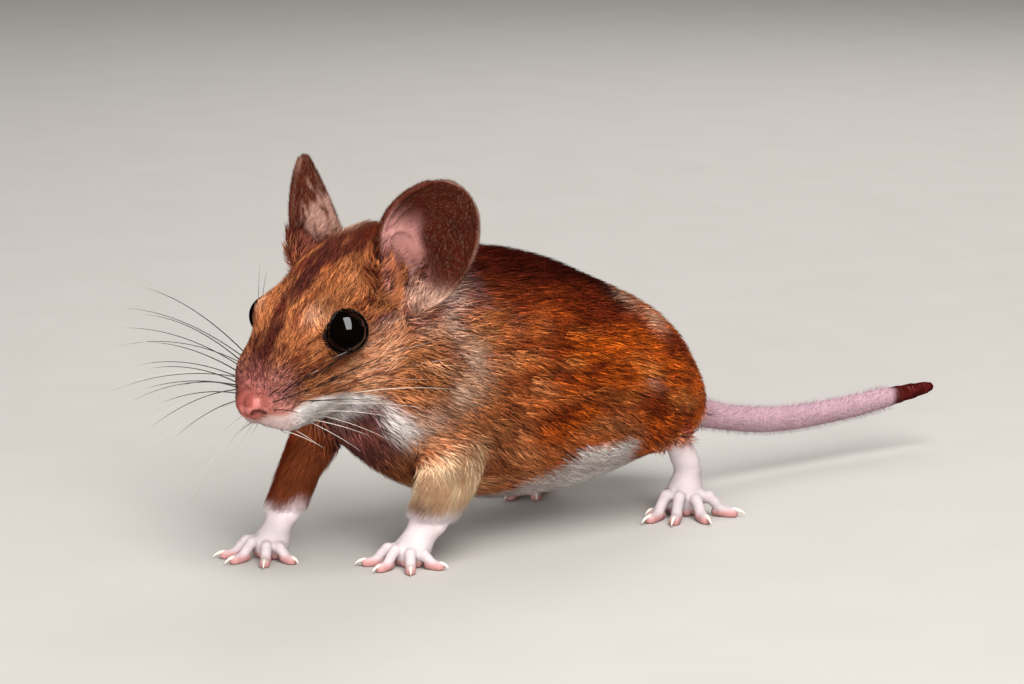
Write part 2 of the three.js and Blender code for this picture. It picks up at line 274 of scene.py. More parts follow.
def contour(grid, values, level=0.0):
    """The surface where a field has one value, as points and quads that face outward."""
    made = vdb.FloatGrid(float(values.max()))
    made.copyFromArray(np.ascontiguousarray(values), ijk=tuple(int(n) for n in grid.first))
    made.transform = vdb.createLinearTransform(voxelSize=grid.step)
    points, quads = made.convertToQuads(isovalue=level)
    a, b, c = (points[quads[:, k]].astype(float) for k in range(3))
    inside = np.einsum("ij,ij->", a, np.cross(b, c))
    return points.astype(float), quads if inside > 0 else quads[:, ::-1]


def running_mean(values, cells, axis):
    """Each value's mean with its neighbours up to so many cells away along an axis."""
    pad = [(0, 0)] * 3
    pad[axis] = (cells + 1, cells)
    total = np.cumsum(np.pad(values, pad, mode="edge"), axis=axis, dtype=np.float64)
    count = values.shape[axis]
    after = np.take(total, np.arange(2 * cells + 1, 2 * cells + 1 + count), axis=axis)
    before = np.take(total, np.arange(count), axis=axis)
    return ((after - before) / (2 * cells + 1)).astype(np.float32)


def blurred(values, cells, passes=3):
    for _ in range(passes):
        for axis in range(3):
            values = running_mean(values, cells, axis)
    return values


def softened(values, passes):
    """A light blur, each point with its next neighbours."""
    for _ in range(passes):
        for axis in range(3):
            lines = np.moveaxis(values, axis, 0)
            soft = lines.copy()
            soft[1:-1] = 0.5 * lines[1:-1] + 0.25 * (lines[:-2] + lines[2:])
            values = np.moveaxis(soft, 0, axis)
    return values


def refined(values):
    """Values on the coarse grid, spread to the fine one."""
    for axis in range(3):
        lines = np.moveaxis(values, axis, 0)
        fine = np.empty(((lines.shape[0] - 1) * FINER + 1, *lines.shape[1:]), np.float32)
        fine[::FINER] = lines
        for k in range(1, FINER):
            share = k / FINER
            fine[k::FINER] = lines[:-1] * (1 - share) + lines[1:] * share
        values = np.moveaxis(fine, 0, axis)
    return np.ascontiguousarray(values)


def soft_min(a, b, blend):
    near = np.maximum(blend - np.abs(a - b), 0) / blend
    return np.minimum(a, b) - near * near * blend / 4


def soft_max(a, b, blend):
    return -soft_min(-a, -b, blend)


# Shapes as distances -----------------------------------------------------------------------

def ellipsoid(at, radii, axes=np.eye(3)):
    """A stretched ball's distance, near enough close to its surface."""
    radii = np.array(radii, float)

    def distance(points):
        local = (points - at) @ axes.T
        scaled = np.linalg.norm(local / radii, axis=-1)
        steep = np.linalg.norm(local / radii**2, axis=-1)
        return scaled * (scaled - 1) / np.maximum(steep, 1e-6)

    return distance


def tapered(points_on, radii, blend=0.0):
    """The distance from a chain of round cones through points, each with its radius."""
    points_on = np.array(points_on, float)
    radii = np.broadcast_to(np.asarray(radii, float), len(points_on))

    def distance(points):
        total = None
        for a, b, ra, rb in zip(points_on[:-1], points_on[1:], radii[:-1], radii[1:]):
            along = b - a
            t = np.clip(((points - a) @ along) / (along @ along), 0, 1)
            gap = np.linalg.norm(points - a - t[..., None] * along, axis=-1) - (ra + (rb - ra) * t)
            if total is None:
                total = gap
            else:
                total = soft_min(total, gap, blend) if blend else np.minimum(total, gap)
        return total

    distance.low = (points_on - radii[:, None]).min(0)
    distance.high = (points_on + radii[:, None]).max(0)
    return distance


class Clay(Field):
    """The skin's field while it is being worked."""

    def window(self, shape, low, high, room=1.5):
        low = getattr(shape, "low", low)
        high = getattr(shape, "high", high)
        return self.grid.window(np.array(low) - room, np.array(high) + room)

    def add(self, shape, low=None, high=None, blend=0.4):
        slices, points = self.window(shape, low, high)
        self.values[slices] = soft_min(self.values[slices], shape(points), blend)

    def cut(self, shape, low=None, high=None, blend=0.2):
        slices, points = self.window(shape, low, high)
        self.values[slices] = soft_max(self.values[slices], -shape(points), blend)

    def onto(self, points, height=0.0):
        """Points brought to the surface, or to a height over it."""
        return self.lifted(points, height, times=5, reach=FINE)


# The regions of the body -------------------------------------------------------------------

SIDES = {"left": 1, "right": -1}


def both(*names):
    return [f"{name}_{side}" for name in names for side in SIDES]


REGIONS = {
    "trunk": ["neck", "chest", "belly", "rump", *both("thigh")],
    "head": ["head"],
    "nose": ["nose"],
    "ear": both("ear"),
    "arm": both("upper_arm"),
    "shin": both("forearm", "shank"),
    "paw": both("fore_foot", "hind_foot"),
    "tail": ["tail_base", "tail_middle", "tail_tip"],
}
FLESH = [node for nodes in REGIONS.values() for node in nodes]
REMADE = ("ear", "paw", "tail")  # regions whose skin is shaped afresh, finer than the solids
GATHERED = [node for region, nodes in REGIONS.items() if region not in REMADE for node in nodes]
# How far the skin lies under the tips of the coat. The head's is a function of its own.
DEPTHS = {"trunk": 1.6, "nose": 0, "ear": 0.3, "arm": 0.95, "shin": 0.65, "paw": 0, "tail": 0.8}


def head_depth(points):
    """The coat is shortest at the muzzle and deepens towards the neck."""
    return 0.12 + 1.2 * smoothstep(12, -9, in_head(points)[..., 0])


def whole_grids():
    """A coarse and a fine grid over the whole part, with room round it."""
    low, high = (np.array(corner) / METRE for corner in CAD_BOX)
    first = np.floor((low - MARGIN) / COARSE).astype(int)
    count = np.ceil((high + MARGIN) / COARSE).astype(int) - first + 1
    coarse = Grid(COARSE, first, count)
    fine = Grid(FINE, first * FINER, (count - 1) * FINER + 1)
    return coarse, fine


def region_shares(grid):
    """How far each point belongs to each region, with soft borders. The shares add up to 1."""
    pull = {}
    for region, nodes in REGIONS.items():
        gap = np.minimum.reduce([distances(grid, *surface(node), 6.0) for node in nodes])
        pull[region] = np.exp(-np.clip(gap, -1, None) / 0.6)
    total = sum(pull.values())
    return {region: Field(grid, values / total) for region, values in pull.items()}


COARSE_GRID, FINE_GRID = whole_grids()
SHARES = region_shares(COARSE_GRID)


def shares(points):
    """How far points belong to each region."""
    return {region: field.at(points) for region, field in SHARES.items()}


def blended(points, values):
    """Rows of numbers given for each region, mixed by how far each point belongs to it."""
    return sum(share[:, None] * values[region] for region, share in shares(points).items())


def is_hind(points):
    """Whether points lie behind the middle of the belly."""
    return points[:, 1] > centre("belly")[1]


# Ears --------------------------------------------------------------------------------------

EAR_LENGTH = {1: 14.4, -1: 15.2}  # 1 is the left side and -1 the right, as in SIDES
EAR_THICK = 0.66
EAR_ROOT = [-9.6, 7.0, 4.3]  # ahead, left and up, in the level frame of the head
EAR_RISE = {1: [-0.143, 0.37, 0.92], -1: [-0.09, -0.4, 0.91]}  # the right ear leans ahead a little
EAR_FACE = [0.68, 0.73, 0]  # the cup opens ahead and outward
CUP_FRONT = 0.6  # the share of the cup's depth that stands before the ear's root
EAR_FOOT = -0.16  # the share of the length at which the sheet ends, inside the head
# Rows: share of the length, inner edge, outer edge, depth of the cup.
EAR = table([
    [EAR_FOOT, -1.6, 2.4, 4.6],
    [0, -2.6, 3.6, 6.4],
    [0.1, -3.4, 4.6, 6.8],
    [0.26, -4.6, 5.6, 5.6],
    [0.48, -5.5, 6.15, 4.5],
    [0.68, -5.05, 5.95, 3.1],
    [0.84, -3.6, 4.95, 1.7],
    [0.9, -2.8, 4.2, 1.15],
    [0.94, -2.05, 3.5, 0.75],
    [0.97, -1.25, 2.75, 0.45],
    [0.99, -0.4, 1.9, 0.25],
    [1, 0.55, 0.95, 0.15],
])
# The furred root that goes round the cup's foot from its front to its rear, in the ear's own axes:
# rows of [before, across, up, radius].
EAR_ROOT_FUR = [
    [2.8, -4.4, 3.1, 0.65],
    [2.3, -3.4, 0.8, 0.8],
    [1.0, -1.7, -1.7, 1.0],
    [0.4, 0.6, -2.9, 0.8],
    [0.9, 2.6, -2.6, 0.6],
    [-0.9, 3.2, -1.5, 1.0],
    [-2.6, 2.2, -1.2, 1.4],
]


def ear_axes(side):
    """An ear's own axes: towards its opening, across to its rear edge, and its rise."""
    level = np.array([LEVEL_AHEAD, LEFT, vec(0, 0, 1)])
    mirror = vec(1, side, 1)
    rise = unit(EAR_RISE[side])
    face = EAR_FACE * mirror
    face = unit(face - (face @ rise) * rise)
    across = np.cross(rise, face) * side
    return np.array([face, across, rise]) @ level, BETWEEN_EYES + (EAR_ROOT * mirror) @ level


def ear_bow(t):
    """How the ear's sheet bows from its inner edge, through its middle, to its outer edge."""
    return np.sin(np.pi * np.clip(t, 0, 1) ** 0.9)


def ear_thickness(bow):
    return EAR_THICK * (0.45 + 0.55 * bow)


def ear_point(side, share, t, sink=0.0):
    """A point of the ear's sheet, t from its inner edge to its outer, sunk behind its front."""
    axes, root = ear_axes(side)
    share, t, sink = np.broadcast_arrays(*(np.asarray(n, float) for n in (share, t, sink)))
    inner, outer, depth = (EAR(share.ravel()).T).reshape(3, *share.shape)
    bow = ear_bow(t)
    face = -(depth * (bow - CUP_FRONT) + sink * ear_thickness(bow))
    local = np.stack([face, inner + (outer - inner) * t, EAR_LENGTH[side] * share], -1)
    return root + local @ axes


def ear_sheet(side, rings=72, half=40):
    """The ear as a closed surface of its two faces."""
    share = (EAR_FOOT + (1 - EAR_FOOT) * np.sin(np.linspace(0, math.pi / 2, rings)))[:, None]
    t = np.linspace(0, 1, half)[None, :]
    front = ear_point(side, share, t)
    rear = ear_point(side, share, t[:, ::-1], 1.0)
    points = np.concatenate([front, rear], 1)
    fan = np.arange(half - 1)
    cap = np.column_stack([fan, fan + 1, 2 * half - 2 - fan, 2 * half - 1 - fan])
    top = cap + (rings - 1) * 2 * half
    faces = np.concatenate([round_quads(rings, 2 * half), cap, top[:, ::-1]])
    return points.reshape(-1, 3), faces


def furred_root(side):
    """The ear's furred root as a distance."""
    axes, root = ear_axes(side)
    rows = through(EAR_ROOT_FUR, 13)
    return tapered(root + rows[:, :3] @ axes, rows[:, 3], blend=0.3)


def at_ear_root(points):
    """1 on the furred roots of the ears, and 0 from a short way off."""
    gap = np.minimum.reduce([furred_root(side)(points) for side in SIDES.values()])
    return smoothstep(1.25, 0.5, gap)


def furred_ear_roots():
    """The head's coat takes the ears' roots over from the ears."""
    rooted = at_ear_root(COARSE_GRID.places())
    taken = rooted * SHARES["ear"].values
    SHARES["head"].values += taken
    SHARES["ear"].values -= taken


furred_ear_roots()


# Lines on the ear's sheet, as shares of its length and places across it.
FRONT_EDGE = [0.02, 0.25, 0.5, 0.75, 0.92], [0.03, 0.02, 0.015, 0.02, 0.04]
REAR_EDGE = [-0.12, 0.1, 0.35, 0.6, 0.85], [0.95, 0.98, 0.99, 0.985, 0.97]
# The folds inside the cup, each with its radius too.
EAR_FOLDS = [
    ([0.34, 0.44, 0.43, 0.33, 0.2], [0.04, 0.16, 0.32, 0.43, 0.42], 0.42),
    ([0.06, 0.15, 0.25], [0.46, 0.34, 0.28], 0.5),
    ([0.5, 0.6, 0.68], [0.1, 0.14, 0.2], 0.3),
]


def ear_ridge(side, along, across, radii, count=14, sink=0.2):
    """A round ridge on a line of the ear's sheet, from one radius to another."""
    line = ear_point(side, np.array(along), np.array(across), sink)
    return tapered(through(line, count), np.linspace(*radii, count))


def shape_ear(clay, side):
    """The ear's sheet with its rolled edges and its folds, and the furred root round its foot."""
    points, faces = ear_sheet(side)
    slices, local = clay.grid.cropped(points.min(0) - 1.5, points.max(0) + 1.5)
    sheet = distances(local, points, faces, 1.6)
    clay.values[slices] = soft_min(clay.values[slices], sheet, 0.5)
    clay.add(ear_ridge(side, *FRONT_EDGE, (0.62, 0.3), 16), blend=0.5)
    clay.add(ear_ridge(side, *REAR_EDGE, (0.34, 0.2)), blend=0.4)
    for along, across, radius in EAR_FOLDS:
        clay.add(ear_ridge(side, along, across, (radius, 0.6 * radius), sink=0.0), blend=0.45)
    clay.add(furred_root(side), blend=1.6)


# Feet and claws ----------------------------------------------------------------------------

# Each foot's shaft from above its wrist or heel down to the ball of the foot, with its radius at
# the top, the ball's size, the way it points in degrees from straight ahead towards the left, and
# its toes, a radius thick, as [angle, length, side step, knuckle's height].
FEET = {
    "fore_foot_left": {
        "above": [7.9, 8.0, 7.9],
        "wrist": [7.7, 5.7, 4.6],
        "middle": [7.5, 3.6, 1.6],
        "heading": 22,
        "size": [2.1, 2.0, 1.8],
        "shaft": 2.25,
        "toes": [[-52, 3.7, -1.5, 2.0], [-14, 3.6, -0.6, 2.1], [30, 3.2, 0.7, 1.8], [98, 3.0, 1.4, 1.6]],
        "radius": 0.74,
    },
    "fore_foot_right": {
        "above": [-7.65, -3.2, 7.9],
        "wrist": [-7.1, -5.4, 4.6],
        "middle": [-6.6, -7.4, 1.6],
        "heading": 14,
        "size": [2.1, 2.0, 1.8],
        "shaft": 1.75,
        "toes": [[-38, 3.9, -1.5, 2.0], [-10, 4.0, -0.6, 2.1], [34, 3.6, 0.7, 1.8], [84, 3.0, 1.5, 1.6]],
        "radius": 0.74,
    },
    "hind_foot_left": {
        "above": [9.6, 45.0, 11.0],
        "wrist": [10.7, 46.7, 6.4],
        "middle": [10.6, 46.4, 2.1],
        "heading": 50,
        "size": [2.5, 2.3, 2.3],
        "shaft": 1.6,
        "toes": [
            [-66, 2.6, -1.9, 1.6],
            [-38, 4.9, -1.6, 2.8],
            [-14, 4.6, -0.5, 2.7],
            [22, 4.2, 0.9, 2.3],
            [80, 4.4, 1.8, 2.4],
        ],
        "radius": 0.84,
    },
    "hind_foot_right": {
        "above": [-10.5, 43.2, 9.6],
        "wrist": [-11.7, 42.2, 5.2],
        "middle": [-11.4, 39.4, 1.8],
        "heading": -10,
        "size": [2.4, 2.6, 2.0],
        "shaft": 1.6,
        "toes": [
            [-66, 2.6, -1.9, 1.5],
            [-34, 4.2, -1.4, 2.1],
            [-2, 4.6, -0.1, 2.2],
            [28, 4.2, 1.2, 2.0],
            [66, 3.2, 1.9, 1.6],
        ],
        "radius": 0.84,
    },
}
# The pads under a foot, as shares of its width and length from its middle.
PADS = [(-0.55, 0.5), (0.05, 0.72), (0.62, 0.45), (-0.45, -0.5), (0.45, -0.55)]
PAD_HEIGHT = 0.55


def toe_line(foot, toe):
    """A function that gives a toe's point at a share of its length and a height, its knuckle's
    height, and the way it points.
    """
    angle, length, step, height = toe
    middle = np.array(foot["middle"]) + SHIFT
    heading = foot["heading"]
    ahead = foot["size"][1] * math.sqrt(1 - (step / foot["size"][0]) ** 2) * 0.75
    start = middle + turned(heading) * ahead + turned(heading + 90) * step
    way = turned(heading + angle)

    def at(share, up):
        point = start + way * length * share
        return vec(point[0], point[1], up)

    return at, height, way


def shape_toe(clay, foot, toe):
    """A toe bent at its knuckle, with pads under its tip and its middle."""
    at, height, _ = toe_line(foot, toe)
    r = foot["radius"]
    knuckle, dip = at(0.3, height + 0.1), at(0.5, height * 0.62 + r * 0.3)
    bones = [at(0, height), knuckle, dip, at(0.68, r * 0.8), at(1, r * 0.62)]
    clay.add(tapered(bones, np.array([1.02, 0.92, 0.8, 0.86, 0.78]) * r, blend=0.2), blend=0.35)
    clay.add(tapered([at(0.86, r * 0.5), at(1.0, r * 0.5)], r * 0.86), blend=0.15)
    clay.add(tapered([at(0.5, r * 0.72), at(0.58, r * 0.7)], r * 0.7), blend=0.15)


def shape_foot(clay, foot):
    """A foot's ball, its shaft up into the leg, its toes and the pads beneath."""
    above, wrist, middle = (np.array(foot[key]) + SHIFT for key in ("above", "wrist", "middle"))
    wide, long, _ = foot["size"]
    ahead, aside = turned(foot["heading"]), turned(foot["heading"] + 90)
    axes = np.array([aside, -ahead, vec(0, 0, 1)])
    sole = ellipsoid(middle, foot["size"] * vec(1, 1, 0.95), axes)
    clay.add(sole, middle - 3.2, middle + 3.2, blend=0.7)
    shaft = through([above, wrist, (wrist + middle) / 2, middle], 8)
    clay.add(tapered(shaft, np.linspace(foot["shaft"], 0.8 * wide, 8)), blend=1.6)
    for toe in foot["toes"]:
        shape_toe(clay, foot, toe)
    for side, front in PADS:
        at = middle + aside * side * wide + ahead * front * long
        at[2] = PAD_HEIGHT
        clay.add(ellipsoid(at, [0.72, 0.66, 0.6]), at - 1, at + 1, blend=0.2)


# Face --------------------------------------------------------------------------------------

LID = 0.2  # thickness
OPENED = 0.975  # the lids' opening, as a share of the ball's radius


def eye_axis(side):
    """The way an eye looks: outward, a little ahead and up."""
    return unit(0.85 * side * LEFT + 0.42 * FORWARD + 0.33 * CROWN)


def lid_opening(side):
    """The gap between the lids, as a distance: round, but cut straight below towards the nose."""
    at, out = EYES[side], eye_axis(side)
    along = unit(FORWARD - (FORWARD @ out) * out)
    above = np.cross(out, along) * side
    radius = EYE_RADIUS * OPENED
    slant = unit(0.5 * along - above)

    def opening(points):
        local = points - at
        forward, up = local @ along, local @ above
        rim = np.sqrt(forward**2 + (up / 0.97) ** 2) - radius
        rim = soft_max(rim, local @ slant - radius * 0.9, 0.5)
        return np.maximum(rim, EYE_RADIUS * 0.15 - local @ out)

    return opening


OPENINGS = {side: lid_opening(side) for side in EYES}


def shape_lids(clay, side):
    """A thin lid that holds the ball, opened over most of it."""
    at = EYES[side]
    low, high = at - EYE_RADIUS - 1, at + EYE_RADIUS + 1
    clay.add(ellipsoid(at, [EYE_RADIUS + LID] * 3), low, high, blend=0.5)
    clay.cut(OPENINGS[side], low - 1, high + 1, blend=0.1)
    clay.cut(ellipsoid(at, [EYE_RADIUS + 0.02] * 3), low, high, blend=0.05)


def head_line(side, places, count):
    """A line through places on one side of the head."""
    return through([head_point(forward, side * left, up) for forward, left, up in places], count)


def nostril(side):
    """A comma that opens forward and runs out to the side."""
    places = [(12.95, 0.9, -3.9), (12.7, 1.5, -3.7), (12.0, 2.1, -4.3)]
    return head_line(side, places, 7)


def shape_nose(clay):
    """Two round halves with a groove between, each with its nostril."""
    for side in SIDES.values():
        at = head_point(12.0, side * 0.75, -3.7)
        clay.add(ellipsoid(at, [1.42, 1.3, 1.68], HEAD_AXES), at - 2, at + 2, blend=0.35)
        wing = clay.onto(nostril(side), -0.1)
        clay.cut(tapered(wing, [0.2, 0.3, 0.34, 0.28, 0.22, 0.18, 0.12]), blend=0.15)
    groove = head_line(1, [(13.6, 0, -2.0), (13.5, 0, -3.8), (12.8, 0, -5.2)], 7)
    clay.cut(tapered(clay.onto(groove, 0.02), 0.2), blend=0.25)


def mouth_line(side, count):
    """The mouth's line from its middle back to one corner."""
    places = [(12.1, 0.05, -6.4), (11.0, 1.9, -7.6), (9.4, 3.6, -8.2), (7.2, 4.9, -8.2), (5.6, 5.5, -7.6)]
    return head_line(side, places, count)


def shape_mouth(clay):
    """The slit of the mouth, the groove up to the nose and the rounded upper lips."""
    for side in SIDES.values():
        line = clay.onto(mouth_line(side, 16), -0.02)
        clay.cut(tapered(line, np.linspace(0.34, 0.16, 16)), blend=0.4)
    philtrum = clay.onto(head_line(1, [(12.8, 0, -5.0), (12.0, 0, -6.6)], 6))
    clay.cut(tapered(philtrum, 0.2), blend=0.3)
    for side in SIDES.values():
        upper_lip = clay.onto(head_line(side, [(11.9, 1.1, -5.9), (9.6, 3.6, -6.9)], 6), -0.9)
        clay.add(tapered(upper_lip, np.linspace(1.05, 1.1, 6)), blend=0.5)


# Tail --------------------------------------------------------------------------------------

# Rows [x, y, z, radius]: the tail is short, and its last few millimetres are bare and raw.
TAIL = [
    [0, 53, 12.0, 2.5],
    [0.1, 61, 9.1, 1.85],
    [0.8, 72, 7.0, 1.75],
    [1.8, 84, 6.9, 1.6],
    [2.8, 93, 7.6, 1.4],
    [3.8, 99.8, 8.2, 1.0],
]
RAW_FROM = 93.5 + SHIFT[1]


def shape_tail(clay):
    """A thin tail that ends in a raw tip."""
    line = through(TAIL, 44)
    spine, radii = line[:, :3] + SHIFT, line[:, 3] - 0.06
    radii[-4:] *= [0.98, 0.95, 0.9, 0.8]
    raw = spine[:, 1] > RAW_FROM
    radii[raw] *= 0.93 + 0.05 * np.sin(np.arange(raw.sum()) * 2.1)  # the raw end is uneven
    clay.add(tapered(spine, radii), blend=0.5)


# The skin's shape --------------------------------------------------------------------------

CLOSE = 0.2  # the solids are swollen by this to close the gaps between them


def closed_outline():
    """The outline of the gathered solids as one closed surface, swollen by CLOSE."""
    whole = np.full(FINE_GRID.shape, 0.8, np.float32)
    for node in GATHERED:
        low, high = corners(node)
        slices, local = FINE_GRID.cropped(low - 1, high + 1)
        whole[slices] = np.minimum(whole[slices], distances(local, *surface(node), 0.8))
    for at in EYES.values():
        ball = ellipsoid(at, [EYE_RADIUS + 0.34] * 3)
        slices, points = FINE_GRID.window(at - 4, at + 4)
        whole[slices] = np.minimum(whole[slices], ball(points))
    return contour(FINE_GRID, whole, CLOSE)


def coat_depth():
    """How deep the coat is, at each point of the coarse grid."""
    points = COARSE_GRID.places()
    depth = sum(SHARES[region].values * deep for region, deep in DEPTHS.items())
    return blurred(depth + SHARES["head"].values * head_depth(points), 1, 2)


def eye_gap(points):
    """How far points are from the nearer eye's ball."""
    gaps = [np.linalg.norm(points - at, axis=-1) for at in EYES.values()]
    return np.minimum.reduce(gaps) - EYE_RADIUS


# Where the skin stands out, or sinks, on both sides of the head: rows of
# [ahead, aside, up, reach, amount].
HEAD_SWELLS = [
    [6.8, 2.3, 1.3, 2.8, 0.7],  # the muzzle
    [8.9, 2.9, -0.9, 2.2, 1.1],  # the whiskers' pad
    [1.8, 4.1, 2.9, 2.0, 1.0],  # between the forehead and the eye
    [3.9, 3.4, 2.1, 2.0, 0.6],
    [-6.4, 7.4, 1.2, 1.9, 1.1],  # before and below the ear
    [-0.4, 3.6, 3.9, 3.0, 0.8],  # the brow
    [-4.6, 4.2, 4.6, 2.6, 0.8],  # before the ear
    [-11.5, 1.5, 6.5, 3.4, -0.4],  # between the ears
]
# The same on both sides of the body, as [x, y, z, reach, amount].
BODY_SWELLS = [
    [8, 45.0, 22.8, 6.0, 1.3],  # the rump
    [2, 44.5, 26.0, 6.0, 0.6],
    [11.0, 42.0, 8.6, 3.2, -0.8],  # below the rump, round the ankle
    [9.5, 51.5, 8.6, 4.0, -2.0],
    [5, 54.0, 9.4, 3.0, -0.8],
]
# And on one side only.
HEAD_SWELLS_ALONE = [
    [-13.4, 3.4, 5.8, 3.0, -1.0],  # the crown dips towards the left ear
    [-12.3, -2.3, 6.5, 1.7, 1.3],  # under the crest
]
BODY_SWELLS_ALONE = [
    [12.0, 48.8, 10.6, 3.0, -1.3],  # outside the heels
    [-12.6, 46.4, 8.8, 2.6, -1.0],
    [6.9, 5.0, 6.0, 2.2, -0.9],  # the front of the left wrist
]


def swells():
    """Each swelling or hollow of the skin: its place, its reach and the amount."""
    for side in SIDES.values():
        for ahead, aside, up, reach, amount in HEAD_SWELLS:
            yield head_point(ahead, side * aside, up), reach, amount
        for x, y, z, reach, amount in BODY_SWELLS:
            yield vec(side * x, y, z) + SHIFT, reach, amount
    for *at, reach, amount in HEAD_SWELLS_ALONE:
        yield head_point(*at), reach, amount
    for *at, reach, amount in BODY_SWELLS_ALONE:
        yield vec(*at) + SHIFT, reach, amount


def skin_field():
    """The solids' outline, rounded where the trunk is and let down by the coat's depth."""
    points, quads = closed_outline()
    near = softened(distances(FINE_GRID, points, quads, 3.4) + CLOSE, 2)
    middle = head_point(-2, 0, -4)
    slices, _ = FINE_GRID.window(middle - 17, middle + 17)
    near[slices] = softened(near[slices], 5)  # the head's solids run together more softly
    broad = blurred(distances(COARSE_GRID, points, quads, 6.0) + CLOSE, 1, 3)
    trunk = refined(blurred(SHARES["trunk"].values + 0.6 * SHARES["arm"].values, 1, 2))
    field = near + trunk * (refined(broad) - near)
    field += refined(coat_depth())
    for at in EYES.values():  # the skin dips a little round each eye
        slices, places = FINE_GRID.window(at - 6, at + 6)
        field[slices] += 0.4 * smoothstep(1.7, 0.4, eye_gap(places))
    for at, reach, amount in swells():
        slices, places = FINE_GRID.window(at - 2 * reach, at + 2 * reach)
        field[slices] -= amount * np.exp(-np.sum((places - at) ** 2, -1) / reach**2)
    return field


def shaped_skin():
    """The finished skin's points and quads."""
    clay = Clay(FINE_GRID, skin_field())
    for side in SIDES.values():
        shape_ear(clay, side)
        shape_lids(clay, side)
    shape_nose(clay)
    shape_mouth(clay)
    for foot in FEET.values():
        shape_foot(clay, foot)
    shape_tail(clay)
    slices, points = FINE_GRID.window([-40, -80, -5], [40, 80, 2])
    clay.values[slices] = np.maximum(clay.values[slices], -points[..., 2])
    return contour(FINE_GRID, clay.values)


# Meshes ------------------------------------------------------------------------------------

def make_piece(name, points, faces, material, colours=None, floats=None, bake=None):
    """A smooth mesh piece that rides on the body. Points are millimetres."""
    mesh = bpy.data.meshes.new(name)
    sides = faces.shape[1]
    mesh.vertices.add(len(points))
    mesh.vertices.foreach_set("co", (np.asarray(points) * METRE).astype(np.float32).ravel())
    mesh.loops.add(faces.size)
    mesh.loops.foreach_set("vertex_index", faces.astype(np.int32).ravel())
    mesh.polygons.add(len(faces))
    mesh.polygons.foreach_set("loop_start", np.arange(0, faces.size, sides, dtype=np.int32))
    mesh.polygons.foreach_set("use_smooth", np.ones(len(faces), bool))
    if bake is not None:
        layer = mesh.uv_layers.new(name="OFBake")
        layer.uv.foreach_set("vector", bake[faces.ravel()].astype(np.float32).ravel())
    if colours is not None:
        layer = mesh.color_attributes.new(name="coat_colour", type="FLOAT_COLOR", domain="POINT")
        rgba = np.column_stack([colours, np.ones(len(colours))]).astype(np.float32)
        layer.data.foreach_set("color", rgba.ravel())
    for key, values in (floats or {}).items():
        layer = mesh.attributes.new(name=key, type="FLOAT", domain="POINT")
        layer.data.foreach_set("value", values.astype(np.float32))
    mesh.update()
    mesh.validate()
    mesh.materials.append(material)
    piece = bpy.data.objects.new(name, mesh)
    bpy.context.scene.collection.objects.link(piece)
    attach(piece, "root")
    return piece


# Noise and palette -------------------------------------------------------------------------

LATTICE = (31, 37, 29)  # how many patches there are each way before they come again


def noise(points, size, seed):
    """Smooth noise between -1 and 1, in patches about so many millimetres across."""
    lattice = np.random.default_rng(seed).uniform(-1, 1, LATTICE)
    where = points / np.asarray(size, float) + 500
    first = np.floor(where).astype(int)
    part = where - first
    part = part * part * (3 - 2 * part)
    total = 0
    for corner in np.ndindex(2, 2, 2):
        share = np.prod(np.where(corner, part, 1 - part), axis=-1)
        i = (first + corner) % LATTICE
        total = total + share * lattice[i[:, 0], i[:, 1], i[:, 2]]
    return total


def gathering(points, size, seed):
    """The nearest of many scattered places, about so far apart, to which a lock's tips gather."""
    scatter = np.random.default_rng(seed).uniform(0, 1, (*LATTICE, 3))
    cell = np.floor(points / size).astype(int)
    best = np.full(len(points), np.inf)
    found = points.copy()
    for step in np.ndindex(3, 3, 3):
        near = cell + np.array(step) - 1
        i = near % LATTICE
        place = (near + scatter[i[:, 0], i[:, 1], i[:, 2]]) * size
        gap = np.sum((place - points) ** 2, 1)
        closer = gap < best
        best[closer] = gap[closer]
        found[closer] = place[closer]
    return found


def mixed(a, b, share):
    """Colours a moved towards b by a share each, or by one share for all."""
    return a + (np.asarray(b) - a) * np.atleast_1d(share)[:, None]


# Linear colours.
BACK_BROWN = vec(0.055, 0.0045, 0.0015)
BROWN = vec(0.235, 0.028, 0.006)
RUSSET = vec(0.660, 0.118, 0.008)
AMBER = vec(0.740, 0.225, 0.048)
OCHRE = vec(0.560, 0.215, 0.078)
BUFF = vec(0.780, 0.530, 0.360)
CUFF = vec(0.970, 0.690, 0.440)
SLATE = vec(0.140, 0.110, 0.115)
WHITE = vec(0.860, 0.790, 0.750)
PINK = vec(0.560, 0.190, 0.165)
PALE_PINK = vec(0.930, 0.790, 0.800)
EAR_DARK = vec(0.060, 0.0070, 0.0016)
EAR_PINK = vec(0.600, 0.285, 0.255)
# painted rim light along the ears' thin edges
EAR_RIM_LIGHT = vec(0.460, 0.270, 0.200)
LID_DARK = vec(0.012, 0.007, 0.006)
NOSE_PINK = vec(0.250, 0.057, 0.045)
# painted shade in the nostrils and along the mouth's slit
NOSTRIL_SHADE = vec(0.050, 0.006, 0.005)
MOUTH_SLIT_SHADE = vec(0.110, 0.035, 0.030)
DUSK = vec(0.045, 0.016, 0.014)
RAW_RED = vec(0.062, 0.006, 0.005)
TAIL_LILAC = vec(0.460, 0.290, 0.330)

# Rows: y in the solids' working frame, the back's height, the belly's, and the line of the
# belly's white as a share of the way up.
SIDE = table([
    [-12, 33, 17, 0.1],
    [0, 36.5, 13.5, 0.08],
    [9, 38, 7, 0.03],
    [18, 37.8, 4.6, 0.08],
    [24, 37, 4, 0.2],
    [31, 34.8, 3.8, 0.29],
    [36, 32, 4.6, 0.27],
    [39, 30.2, 5.2, 0.1],
    [42, 28.2, 5.8, 0.03],
    [46, 25.5, 6.4, 0.01],
    [57, 14, 9, 0.0],
])
